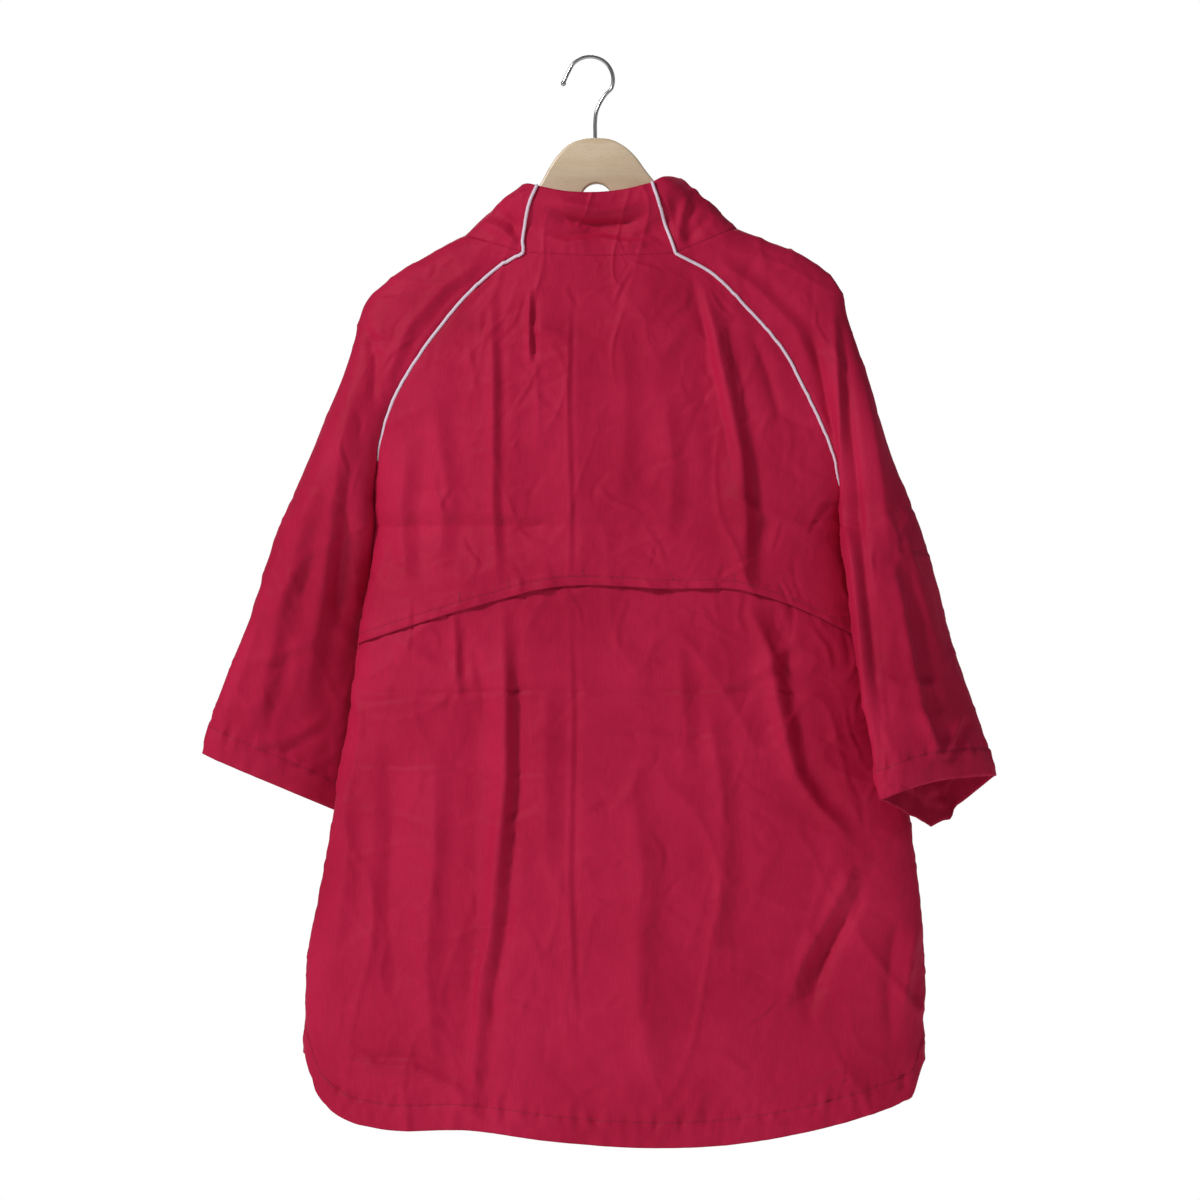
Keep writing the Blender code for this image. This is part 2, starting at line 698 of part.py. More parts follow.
def hook_points():
    """The wire's centre line: up the shank, a short bend, then round over the top."""
    centre_z = WIRE_RADIUS - HOOK_RADIUS
    shank = [(SHANK_X, SHANK_TOP_Z - SHANK_DEPTH), (SHANK_X, SHANK_TOP_Z), (SHANK_X, -62), (6.2, -52)]
    neck = [(9.0, -44.5), (14.0, -37.0)]
    bend = [
        (HOOK_RADIUS * math.cos(turn), centre_z + HOOK_RADIUS * math.sin(turn))
        for turn in np.radians(np.linspace(*HOOK_ARC_DEG, 25))
    ]
    return shank + neck + bend


def build_hook():
    curve = bpy.data.curves.new("hanger_hook", "CURVE")
    curve.dimensions = "3D"
    curve.bevel_depth = WIRE_RADIUS * MM
    curve.bevel_resolution = 2
    curve.use_fill_caps = True
    route = hook_points()
    spline = curve.splines.new("POLY")
    spline.points.add(len(route) - 1)
    for point, (x, z) in zip(spline.points, route):
        point.co = (x * MM, 0, z * MM, 1)
    add_object("hanger_hook", curve, "wire")


for leftover in list(bpy.data.objects):
    bpy.data.objects.remove(leftover)
garment = bpy.data.collections.new("anorak_pullover")
cutters = bpy.data.collections.new("cutters")
bpy.context.scene.collection.children.link(garment)
bpy.context.scene.collection.children.link(cutters)

sheets, sheet_normals = make_sheets()
build_body(sheets, sheet_normals)
build_sleeves(sheets, sheet_normals)
build_collar(sheets, sheet_normals)
build_piping(sheets, sheet_normals)
build_wood()
build_hook()
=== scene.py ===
"""Looks of the anorak pullover on its wooden hanger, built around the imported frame.

Each cloth piece is a thin shell on the form its CAD wall has, with creases, hems and
stitching. Sizes are millimetres until an object is made. +Y is the garment's front.
"""

import math
from collections import namedtuple

import bmesh
import bpy
import numpy as np
from mathutils import Euler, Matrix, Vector


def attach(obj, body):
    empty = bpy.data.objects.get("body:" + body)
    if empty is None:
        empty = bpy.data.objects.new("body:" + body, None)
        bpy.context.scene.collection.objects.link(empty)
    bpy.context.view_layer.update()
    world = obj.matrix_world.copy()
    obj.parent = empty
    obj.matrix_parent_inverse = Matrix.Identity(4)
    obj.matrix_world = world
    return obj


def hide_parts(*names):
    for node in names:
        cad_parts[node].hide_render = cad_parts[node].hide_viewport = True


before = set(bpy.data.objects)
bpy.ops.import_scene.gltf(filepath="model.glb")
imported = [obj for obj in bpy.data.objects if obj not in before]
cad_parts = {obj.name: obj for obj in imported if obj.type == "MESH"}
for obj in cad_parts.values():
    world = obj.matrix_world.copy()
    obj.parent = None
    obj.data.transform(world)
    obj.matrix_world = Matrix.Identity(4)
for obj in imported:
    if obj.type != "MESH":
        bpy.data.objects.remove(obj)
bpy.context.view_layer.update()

MM = 0.001

# Mesh density of the cloth: cells across and down each stretch of it
BACK_CELLS = 228
FRONT_CELLS = 168
RAGLAN_CELLS = 104
YOKE_TAIL_CELLS = 44
LOWER_BACK_CELLS = 206
FRONT_TAIL_CELLS = 150
SLEEVE_CELLS = 116
SLEEVE_TUBE_CELLS = 96
COLLAR_CELLS = 30
SLIT_CELLS = 37
SHELL_THICKNESS = 0.7
YOKE_LIFT = 0.9
YOKE_LIFT_REACH = 40.0
YOKE_TURNING = 14.0
YOKE_TURNING_STEP = 0.5
YOKE_LINE_DEPTH = 0.6

# The garment's form, as the CAD solids have it, apart from the collar's roll and bent seam
PANEL_FLATNESS = 0.62
SLEEVE_FLATNESS = 0.8
UNDERARM_Z = -455.0
NECK_SEAM_SAG = 3.0
YOKE_OVERLAP = 20.0
FRONT_TAIL_LIFT = 18.0
SLIT_TOP_Z = -224.0
SLIT_BOTTOM_Z = -392.0
FRONT_CORNER_SHIFT = (14.0, -13.0)
COLLAR_BULGE = 3.0
COLLAR_BULGE_START = 0.25
COLLAR_ROLL = 6.2
SEAM_BEND = 5.0
SEAM_BEND_REACH = {"collar_left": 0.16, "collar_back": 0.35}
RAGLAN_STATIONS = 8
BODY_HALF_WIDTH = 260
BODY_HALF_DEPTH = 46

def rows_of(kind, *rows):
    """A table: each row of numbers as one tuple with named columns."""
    return [kind(*row) for row in rows]


# The body below the underarm: its two side lines, as x and y at each height.
BodyRow = namedtuple("BodyRow", "z left right left_y right_y")
BODY = rows_of(
    BodyRow,
    (-455, -209, 244, 8, -12),
    (-485, -211, 247, 5, -8),
    (-540, -221, 260, -2, 3),
    (-630, -233, 286, -7, 10),
    (-720, -248, 309, -5, 8),
    (-800, -261, 319, -2, 3),
    (-870, -274, 324, 0, 0),
    (-967, -277, 323, 0, 0),
)

DepthRow = namedtuple("DepthRow", "z back front")
DEPTH = rows_of(
    DepthRow,
    (-190, 33, 36),
    (-250, 37, 40),
    (-330, 41, 44),
    (-455, 45, 48),
    (-600, 48, 51),
    (-800, 54, 57),
    (-1060, 60, 64),
)

HemPoint = namedtuple("HemPoint", "across z")
HEM = rows_of(
    HemPoint,
    (0, -967),
    (0.01, -988),
    (0.02, -1003),
    (0.04, -1018),
    (0.07, -1030),
    (0.115, -1037),
    (0.27, -1039),
    (0.4, -1049),
    (0.545, -1055),
    (0.69, -1052),
    (0.85, -1035),
    (0.92, -1023),
    (0.965, -1013),
    (0.985, -1004),
    (1, -972),
)

YokeEdge = namedtuple("YokeEdge", "across z")
YOKE_EDGE = rows_of(
    YokeEdge,
    (0, -569),
    (0.12, -549),
    (0.28, -526),
    (0.34, -518),
    (0.62, -516),
    (0.76, -518),
    (0.84, -530),
    (1, -566),
)

# A sleeve's stations run from the neck to the cuff. The first nine end on the raglan
# seams and the last is the cuff. open_deg is 90 where a row is a half arch and 0 where
# it closes into a ring. tilt drops the row's front half.
Station = namedtuple(
    "Station",
    "seam_x seam_z edge_x edge_z open_deg back front inner_y outer_y tilt",
)
LEFT_SLEEVE = rows_of(
    Station,
    (-65, -190, -121, -173, 90, 31, 34, 0, 0, 0),
    (-90, -204, -153, -191, 86, 27, 30, 0, 0, 0),
    (-120, -231, -188, -211, 80, 24, 27, 0, 0, 0),
    (-153, -271, -216, -236, 72, 25, 28, 0, 0, 0),
    (-177, -306, -227, -268, 62, 29, 31, 0, 0, 0),
    (-194, -337, -241, -313, 50, 33, 34, 1, 0, 0),
    (-205, -375, -257, -355, 34, 36, 37, 3, 0, 0),
    (-209, -418, -271, -390, 16, 38, 38, 5, 1, 0),
    (-209, -455, -286, -426, 0, 38, 38, 8, 3, 0),
    (-209, -495, -305, -470, 0, 36, 38, 30, 6, -6),
    (-212, -585, -334, -550, 0, 35, 36, 62, 10, -12),
    (-208, -668, -358, -612, 0, 34, 35, 76, 14, -17),
    (-206, -752, -380, -676, 0, 34, 34, 84, 18, -22),
)
RIGHT_SLEEVE = rows_of(
    Station,
    (83, -191, 144, -165, 90, 31, 34, 0, 0, 0),
    (120, -211, 178, -180, 86, 27, 30, 0, 0, 0),
    (155, -246, 214, -196, 80, 24, 27, 0, 0, 0),
    (187, -283, 241, -219, 72, 25, 28, 0, 0, 0),
    (209, -323, 253, -256, 62, 29, 31, 0, 0, 0),
    (226, -358, 268, -304, 50, 33, 34, -2, 0, 0),
    (238, -389, 282, -348, 34, 36, 36, -6, -1, 0),
    (244, -423, 295, -388, 16, 38, 38, -10, -3, 0),
    (244, -455, 309, -428, 0, 38, 38, -12, -5, 0),
    (246, -495, 326, -475, 0, 36, 34, -50, -8, 8),
    (256, -575, 350, -562, 0, 34, 32, -66, -12, 18),
    (268, -648, 374, -632, 0, 33, 31, -80, -16, 28),
    (276, -719, 395, -697, 0, 32, 31, -90, -20, 38),
)

# How the front half of the right cuff drops from the seam (0) to the outer edge (1), as
# shares of the station's tilt, and its pleat.
DROP_PLACES = (0.0, 0.31, 0.445, 0.546, 0.62, 0.67, 1.0)
DROP_SHARES = (0.0, 0.66, 1.0, 0.90, 0.92, 0.62, 0.0)
PLEAT_PLACE = 0.64
PLEAT_WIDTH = 0.05
PLEAT_DEPTH = 8.0
BACK_RISE = 0.2

# The collar's top edge, from its seam at the back round to its front end.
EdgePoint = namedtuple("EdgePoint", "along x y z")
LEFT_COLLAR_TOP = rows_of(
    EdgePoint,
    (0, -50, -32, -126),
    (0.16, -60, -25, -124),
    (0.36, -75, -2, -131),
    (0.58, -80, 18, -143),
    (0.8, -66, 36, -158),
    (1, -44, 47, -170),
)
RIGHT_COLLAR_TOP = rows_of(
    EdgePoint,
    (0, 59, -32, -123),
    (0.16, 71, -27, -117),
    (0.36, 88, -2, -118),
    (0.58, 98, 18, -132),
    (0.8, 86, 36, -154),
    (1, 64, 47, -170),
)
BACK_COLLAR_TOP = rows_of(
    EdgePoint,
    (0, -50, -32, -126),
    (0.25, -24, -33, -131),
    (0.5, 5, -33, -132),
    (0.75, 34, -33, -129),
    (1, 59, -32, -123),
)

# The hanger, as (x, z) places: its top line, its lower corners and the arch in its middle
WOOD_TOP = [
    (-205, -229), (-196, -221), (-153, -196), (-121, -178), (-95, -163), (-72, -147), (-58, -133),
    (-49, -123), (-40, -107), (-31, -94), (-19, -83), (-6, -78.5), (7, -77.7), (20, -79),
    (33, -85.5), (44, -95.5), (54, -109), (63, -120), (76, -132), (95, -146), (120, -158),
    (144, -170), (178, -185), (214, -201), (232, -212),
]
WOOD_ARM_HEIGHT = 17.0
WOOD_UNDER_RIGHT = [(144, -195.2), (60, -160)]
WOOD_UNDER_LEFT = [(-46, -160), (-121, -203.2)]
ARCH_X = 6.5
ARCH_TOP_Z = -122.0
ARCH_RADIUS = 15.0
ARCH_FOOT_Z = -158.0


def smooth(places, values, at):
    """Cubic curve through (places, values), read at the given places."""
    places = np.asarray(places, float)
    values = np.asarray(values, float)
    slopes = np.gradient(values, places)
    at = np.clip(np.asarray(at, float), places[0], places[-1])
    index = np.clip(np.searchsorted(places, at, side="right") - 1, 0, len(places) - 2)
    step = places[index + 1] - places[index]
    part = (at - places[index]) / step
    start = (1 + 2 * part) * (1 - part) ** 2
    end = part**2 * (3 - 2 * part)
    leave = part * (1 - part) ** 2 * step
    arrive = part**2 * (part - 1) * step
    return (
        values[index] * start
        + values[index + 1] * end
        + slopes[index] * leave
        + slopes[index + 1] * arrive
    )


def by_height(table, column, z):
    """A column of a table whose rows go down in z, at height z."""
    heights = [-row.z for row in table]
    return smooth(heights, [getattr(row, column) for row in table], -np.asarray(z, float))


def along(table, place, column, at):
    """A column of a table whose rows go up in place, at a place."""
    places = [getattr(row, place) for row in table]
    return smooth(places, [getattr(row, column) for row in table], at)


def ease(part):
    part = np.clip(part, 0, 1)
    return part * part * (3 - 2 * part)


def sleeve_point(table, station, turn):
    """Point of a sleeve. turn is 0 on the back seam, 0.5 on the outer edge, 1 in front."""
    places = range(len(table))
    row = Station(*[smooth(places, column, station) for column in zip(*table)])
    outward = math.copysign(1, table[0].seam_x)
    shift = np.clip(1 - station / RAGLAN_STATIONS, 0, 1)
    front = turn > 0.5
    seam_x = row.seam_x + front * shift * outward * FRONT_CORNER_SHIFT[0]
    seam_z = row.seam_z + front * shift * FRONT_CORNER_SHIFT[1]
    opening = np.radians(np.clip(row.open_deg, 0, 90))
    half = np.where(front, 2 * (1 - turn), 2 * turn)
    angle = opening + (math.pi - opening) * half
    part = (np.cos(opening) - np.cos(angle)) / (np.cos(opening) + 1)
    swell = np.clip(np.sin(angle), 0, 1) ** SLEEVE_FLATNESS
    middle = row.inner_y + (row.outer_y - row.inner_y) * part
    x = seam_x + (row.edge_x - seam_x) * part
    y = middle + np.where(front, row.front, -row.back) * swell
    drop = front * swell
    if table is RIGHT_SLEEVE:
        drop = front * np.interp(part, DROP_PLACES, DROP_SHARES)
        drop = drop - BACK_RISE * (1 - front) * np.sin(math.pi * part)
        pleat = np.exp(-(((part - PLEAT_PLACE) / PLEAT_WIDTH) ** 2))
        y = y + front * PLEAT_DEPTH * pleat * ease((station - RAGLAN_STATIONS - 1) / 3)
    z = seam_z + (row.edge_z - seam_z) * part - drop * row.tilt
    return np.stack([x, y, z], axis=-1)


def arch(left, right, depth, sign, columns):
    """Rows of the back or front: an arch between two lines of seam points."""
    start = np.clip(sign * left[:, 1] / depth[:, 0], 0, 1) ** (1 / PANEL_FLATNESS)
    end = np.clip(sign * right[:, 1] / depth[:, -1], 0, 1) ** (1 / PANEL_FLATNESS)
    first = np.arcsin(start)[:, None]
    last = math.pi - np.arcsin(end)[:, None]
    angle = first + (last - first) * columns
    across = (np.cos(first) - np.cos(angle)) / (np.cos(first) - np.cos(last))
    swell = np.clip(np.sin(angle), 0, 1) ** PANEL_FLATNESS
    plain = swell[:, :1] * (1 - across) + swell[:, -1:] * across
    points = left[:, None, :] * (1 - across)[..., None] + right[:, None, :] * across[..., None]
    points[..., 1] += sign * depth * (swell - plain)
    return points, across


def raglan_rows(stations, columns, front):
    """Rows of the back or front between the two raglan seams."""
    turn = np.full_like(stations, 1.0 if front else 0.0)
    left = sleeve_point(LEFT_SLEEVE, stations, turn)
    right = sleeve_point(RIGHT_SLEEVE, stations, turn)
    heights = (left[:, 2] + right[:, 2]) / 2
    depth = by_height(DEPTH, "front" if front else "back", heights)[:, None]
    return arch(left, right, depth, 1 if front else -1, columns)


def side_seam_rows(z, columns, front):
    """Rows between the two side seams, at the heights z of each row and column."""
    ends = []
    for side, column in (("left", 0), ("right", -1)):
        at = z[:, column]
        x, y = by_height(BODY, side, at), by_height(BODY, f"{side}_y", at)
        ends.append(np.stack([x, y, at], axis=-1))
    depth = by_height(DEPTH, "front" if front else "back", z)
    points, across = arch(*ends, depth, 1 if front else -1, columns)
    points[..., 2] = z
    return points, across


def part_across(columns):
    """How far across a row its columns lie: close together at the rounded sides."""
    return (1 - np.cos(math.pi * columns)) / 2


def yoke_edge(across):
    return along(YOKE_EDGE, "across", "z", across)


def back_hem(across):
    return along(HEM, "across", "z", across)


def front_hem(across):
    lift = FRONT_TAIL_LIFT * ease(np.minimum(across, 1 - across) / 0.08)
    return back_hem(across) + lift


# A crease of the cloth: how far it reaches to a side, how far it stands out, how deep the
# valley beside it is as a part of that (at larger x, where the path runs down), and its
# path of (x, z) places.
Crease = namedtuple("Crease", "width height trough path")


def creases(*rows):
    """Creases from rows of numbers: width, height, trough, then x and z of each place."""
    return [Crease(*row[:3], list(zip(row[3::2], row[4::2]))) for row in rows]


BACK_CREASES = creases(
    (4.6, 2, 0.8, -96, -226, -93, -330, -94, -430, -89, -518),
    (6.5, 4.2, 1, -84, -524, -82, -612, -82, -701, -89, -779, -95, -852, -104, -900, -111, -969,
     -112, -1036),
    (2.4, 0.8, 0.8, -20, -236, -22, -340, -19, -440, -20, -518),
    (2.4, 1.2, 0.8, -20, -545, -17, -640, -20, -790, -14, -960),
    (2.6, 2.6, 1, -58, -225, -59, -262, -58, -301),
    (2.6, 2.2, -0.7, -59, -264, -40, -271, -20, -280),
    (4, 2, 0.9, -131, -537, -130, -580, -127, -624),
    (5, -1.8, 0, -118, -560, -106, -600, -100, -650),
    (8, 4.2, 0.6, 100, -210, 111, -229, 128, -305, 144, -385, 150, -455, 149, -523),
    (8, 4.2, 0.6, 149, -523, 172, -574, 184, -638, 198, -695, 216, -723, 240, -748, 262, -774),
    (6, -3.2, 0, 98, -207, 112, -270, 128, -350, 141, -420),
    (6, -2.6, 0, 156, -265, 172, -305, 184, -349, 205, -356, 222, -352),
    (7, 1.8, 0.4, 120, -420, 150, -436, 196, -452, 228, -470),
    (2, 1.2, 0.9, -232, -619, -150, -621, -60, -618, 40, -620, 130, -617, 254, -622),
    (2, 0.9, 0.9, -7, -661, 50, -659, 110, -661, 156, -657),
    (2.2, 0.9, 0.9, -229, -690, -175, -692, -118, -688),
    (2.2, 1, 0.9, -74, -699, -24, -697),
    (3, 1.2, 0.6, -232, -634, -180, -627, -130, -624, -82, -622),
    (5, 2.6, 0.8, -238, -972, -205, -979, -171, -979, -138, -994, -107, -1012),
    (8, 3.6, 0.8, 260, -774, 232, -830, 204, -876, 189, -924),
    (8, -3, 0, 252, -815, 226, -872, 210, -940),
    (6, 2.6, 0.7, 315, -843, 310, -880, 302, -925),
    (7, -2.6, 0, 298, -835, 290, -890, 292, -960),
    (9, 2.4, 0.5, 110, -620, 126, -700, 130, -790, 120, -880),
    (12, 2.6, 0.4, 40, -700, 52, -800, 46, -900, 60, -1000),
    (13, -3, 0, -200, -640, -192, -740, -196, -840, -184, -930),
    (9, 2.4, 0.6, -150, -660, -150, -760, -158, -880, -150, -1000),
    (8, 2.4, 0.6, -238, -700, -236, -790, -250, -880),
    (10, 1.8, 0.5, -40, -600, -44, -700, -38, -800),
    (8, 1.6, 0.6, 84, -560, 92, -640, 90, -700),
    (9, 2, 0.6, -150, -330, -140, -420, -146, -500),
    (8, 2.2, 0.7, -176, -370, -182, -440, -178, -520),
    (10, 1.2, 0.5, 30, -260, 36, -350, 28, -440),
    (8, 1.4, 0.5, 72, -330, 80, -400, 76, -470),
    (6, 1.6, 0.6, -196, -560, -150, -590, -100, -606),
    (6, 1.6, 0.6, 206, -560, 160, -600, 120, -612),
)
FRONT_CREASES = creases(
    (8, 3.4, 0.7, -60, -250, -80, -330, -92, -430, -96, -540),
    (8, 3.6, 0.8, -96, -540, -88, -660, -96, -780, -88, -900),
    (8, 3.6, 0.7, 70, -250, 92, -340, 104, -450, 110, -560),
    (9, 3.4, 0.7, 110, -560, 130, -680, 126, -800, 140, -930),
    (5, 2.2, 0.8, 9, -398, 12, -470, 6, -560, 10, -700),
    (6, 1.6, 0.6, 10, -700, 2, -820, 8, -980),
    (7, 2.2, 0.6, 9, -396, 40, -440, 96, -486, 170, -520),
    (7, 2, 0.6, 9, -396, -30, -436, -84, -470, -150, -500),
    (2.2, 0.9, 0.9, -226, -619, -100, -617, 40, -621, 150, -618, 240, -620),
    (8, 2.6, 0.7, -180, -330, -170, -420, -176, -520, -168, -640),
    (8, 2.6, 0.7, 196, -340, 186, -440, 196, -560, 190, -660),
    (10, 2.8, 0.7, -200, -680, -192, -780, -204, -900),
    (10, 2.8, 0.7, 230, -700, 222, -800, 238, -930),
    (12, -2.4, 0, 60, -640, 52, -760, 62, -900),
    (12, -2.2, 0, -40, -600, -34, -720, -44, -860),
    (5, 2.2, 0.8, -232, -968, -190, -980, -120, -1002),
    (8, 2.8, 0.8, 270, -800, 232, -870, 214, -950),
)
LEFT_BACK_CREASES = creases(
    (7, -3, 0, -221, -252, -208, -292, -209, -342),
    (6, 1.6, 0.7, -100, -196, -140, -222, -176, -262, -200, -320),
    (9, 2.6, 0.7, -228, -300, -240, -370, -250, -440, -262, -520, -282, -640),
    (9, 2.6, 0.6, -252, -380, -280, -460, -306, -560, -330, -660),
    (8, -3, 0, -232, -400, -238, -470, -246, -560),
    (5, 1.2, 0.7, -262, -560, -300, -580, -340, -590),
    (5, 1.4, 0.7, -256, -640, -290, -660, -330, -668),
    (6, 1.4, 0.5, -270, -480, -300, -520, -316, -560),
)
RIGHT_BACK_CREASES = creases(
    (5, 4, 0.9, 236, -236, 238, -288, 241, -339, 245, -390, 250, -446, 256, -512, 263, -583, 268,
     -649, 273, -694),
    (6, -4.5, 0, 214, -262, 224, -310, 232, -360, 240, -410),
    (6, 1.8, 0.7, 120, -196, 160, -224, 198, -262, 218, -306),
    (7, 4.2, 0.8, 290, -488, 305, -577, 318, -636, 333, -675),
    (8, 2.4, 0.6, 262, -300, 276, -380, 290, -488),
    (4, 2.8, 0.8, 360, -636, 350, -660, 338, -680),
    (4, 2.6, 0.8, 316, -632, 328, -658, 338, -680),
    (7, -2.2, 0, 276, -520, 282, -590, 290, -660),
    (7, 1.8, 0.6, 300, -450, 318, -520, 340, -590),
    (4, 1, 0.6, 274, -600, 300, -612, 344, -606),
)
RIGHT_FRONT_CREASES = creases(
    (9, 3, 0.7, 240, -260, 256, -360, 276, -470, 300, -600),
    (9, 2.6, 0.6, 262, -320, 290, -440, 322, -560, 350, -660),
    (7, 2, 0.6, 110, -220, 150, -262, 190, -320),
    (6, 1.4, 0.6, 250, -560, 290, -580, 330, -590),
)
COLLAR_CREASES = creases(
    (4.5, -4.6, 0, -44, -148, -24, -158, 0, -163, 30, -163, 56, -154),
    (3, 2.2, 0.9, -42, -176, -20, -181, 10, -176, 40, -182, 68, -178),
    (3.5, 1.6, 0.7, -30, -142, 10, -150, 48, -144),
    (5, 2.2, 0.8, -104, -160, -86, -168, -68, -182),
    (4, -2, 0, -92, -146, -78, -160, -70, -178),
    (5, 2.4, 0.8, 96, -134, 88, -156, 86, -182),
    (5, -2.2, 0, 118, -152, 104, -168, 92, -184),
    (4, 1.4, 0.6, 74, -136, 78, -160, 84, -180),
)

# Placed creases are deepened by this much, and fade out over this part of their length
CREASE_GAIN = 1.55
CREASE_END = 0.3
RIDGE_SHARPNESS = 1.5
# The valley beside a crease, in widths of it
VALLEY_ASIDE = 1.9
VALLEY_WIDTH = 1.2

# Fine crumpling: how many small creases a piece has for each square decimetre
CRUMPLES_PER_DM2 = 8.0
CRUMPLE_LENGTH = (14.0, 70.0)
CRUMPLE_WIDTH = (1.5, 3.2)
CRUMPLE_HEIGHT = (0.25, 0.85)
CRUMPLE_TROUGH = 0.7
# How they lean from upright, in radians, and how far they bend for their length
UPRIGHT_LEAN = 0.55
LEVEL_LEAN = (0.9, 2.2)
CRUMPLE_BEND = 0.12

# The noise lattice is turned, so that its cells line up with nothing
LATTICE_SIZE = 64
LATTICE_SHIFT = 500.0
LATTICE_TURN = np.array(Euler((0.6, 0.9, 0.35)).to_matrix())
# Layers of unevenness: height, how the noise is stretched, its cell and its seed
HANGING = (1.0, 0.7, 0.42)
LEVEL = (0.5, 0.7, 1.0)
EVEN = (1.0, 1.0, 1.0)
SOFT_LAYERS = [(2.1, HANGING, 62.0, 11), (0.9, HANGING, 24.0, 12), (0.18, EVEN, 8.0, 13)]
SHARP_LAYERS = [
    (2.4, HANGING, 54.0, 14), (1.3, HANGING, 26.0, 15),
    (1.4, LEVEL, 42.0, 16), (0.6, EVEN, 15.0, 17),
]
# Sharp folds come in patches, and are ridges where a noise is nearest zero
RIDGE_SPAN = 0.35
RIDGE_FLOOR = -0.3
PATCH_GAIN = 1.6
PATCH_CELL = 2.3
PATCH_SEED = 60

# Hems and stitching
TAIL_HEM = 25.0
CUFF_HEM = 28.0
HEM_STEP = 1.0
HEM_LINE_DEPTH = 1.1
HEM_PUCKER = 2.1
HEM_PUCKER_CELLS = (7.0, 3.5)
HEM_PUCKER_REACH = 13.0
HEM_EDGE_REACH = 10.0
PUCKER_STRETCH = 0.35
CUFF_ROLL = 3.0
SEAM_GROOVE = 0.8
SEAM_PUCKER = 0.9
SEAM_PUCKER_CELL = 8.0
SEAM_PUCKER_REACH = 12.0
SEAM_PUCKER_STRETCH = 0.3
STITCH_LENGTH = 2.6
STITCH_PITCH = 3.3
STITCH_WIDTH = 0.45
STITCH_SIDES = 6
YOKE_STITCH_UP = 9.0
BARTACK_ROWS = 7
BARTACKS_X = (-127.0, -79.0, -5.0, 80.0, 142.0, 186.0)
# Where the yoke's free edge stands away from the back: middle, half width and how far
YOKE_GAPS = [(-108.0, 9.0, 1.6), (-68.0, 7.0, 2.0), (-45.0, 12.0, 3.6), (20.0, 9.0, 1.4),
             (60.0, 19.0, 4.4), (112.0, 12.0, 1.8), (164.0, 13.0, 2.2)]
YOKE_GAP_REACH = 34.0

PIPING_RADIUS = 1.55
PIPING_LIFT = 0.2
WOOD_THICKNESS = 14.0
WIRE_RADIUS = 1.8
SHANK_X = 5.0
HOOK_RADIUS = 22.5
# The wire's route, as (x, z) places before and after its round bend
HOOK_SHANK = [(SHANK_X, z) for z in (-97.5, -86, -74, -62)]
HOOK_NECK = [(6.2, -52), (9.4, -44.0), (14.8, -35.5)]
HOOK_BEND_DEG = (-20, 122)
HOOK_NOSE = [(-16.2, -5.0), (-20.6, -12.4), (-23.8, -19.0), (-25.9, -24.2)]
TIP_RADIUS = 2.5
TUBE_UPRIGHT = (0.0, 1.0, 0.02)
TUBE_NOSE = 0.7

# Long folds of the back: a line from (x0, z0) to (x1, z1) with a half width and how far
# it stands out. A negative height is a trough.
Fold = namedtuple("Fold", "x0 z0 x1 z1 half_width height")
BACK_FOLDS = rows_of(
    Fold,
    (-92, -240, -88, -520, 14, 2.6),
    (-86, -560, -88, -840, 16, 4.5),
    (-108, -600, -112, -1000, 15, -4),
    (-88, -840, -110, -1010, 13, 4),
    (-20, -250, -20, -520, 14, 1.6),
    (118, -230, 152, -540, 16, 4.5),
    (100, -250, 134, -450, 12, -3.5),
    (160, -540, 214, -720, 16, 4.5),
    (206, -740, 262, -790, 14, 3),
    (240, -800, 200, -930, 18, -4),
    (-190, -640, -180, -930, 20, -4),
    (40, -700, 60, -1000, 26, 3.5),
)
FRONT_FOLDS = rows_of(
    Fold,
    (-110, -330, -120, -640, 15, 4),
    (-60, -520, -70, -960, 18, -4),
    (20, -470, 10, -900, 20, 4),
    (90, -400, 110, -760, 16, 4),
    (150, -560, 190, -960, 20, -4),
    (-170, -600, -190, -940, 20, 4),
)

SEAM_REACH = 6
FOLD_TAPER = 60.0
FOLD_MARGIN = 0.12
UNDER_YOKE_DEPTH = 1.1
PIPING_END = {"back_left": 6.4, "back_right": 7.85, "front_left": 6.6, "front_right": 6.6}
WOOD_EDGE = 4.0
LEFT_FRONT_CREASES = [
    crease._replace(path=[(-x, z) for x, z in crease.path]) for crease in RIGHT_FRONT_CREASES
]
# The back's crumples are drawn once, over this box, so that yoke and panel share them
BACK_BOX = (-275.0, -1045.0), (320.0, -195.0), 46.0

# For each piece: its placed creases, the seed of its crumples and how many are upright
CREASES_OF = {
    "back_yoke": (BACK_CREASES, 21, 0.62),
    "back_panel": (BACK_CREASES, 21, 0.62),
    "front_panel": (FRONT_CREASES, 22, 0.62),
    "sleeve_left": (LEFT_BACK_CREASES, 23, 0.5),
    "sleeve_right": (RIGHT_BACK_CREASES, 24, 0.5),
    "collar_left": (COLLAR_CREASES, 25, 0.35),
    "collar_right": (COLLAR_CREASES, 25, 0.35),
    "collar_back": (COLLAR_CREASES, 25, 0.35),
}
CREASE_MARGIN = 10.0
# Front creases take over from back ones across this part of a sleeve's half turn
FRONT_BLEND = 0.2

# The photograph's view: square on to the back, from far enough for a flat perspective
VIEW_DISTANCE = 6.0
VIEW_PLANE = 0.02
SENSOR_WIDTH = 36.0
VIEW_WIDTH = 1.164
VIEW_X = 0.0097
VIEW_Z = -0.527
FLOOR_Z = -1.42
WORLD_FILL = 0.17
FLOOR_RADIUS = 2.6

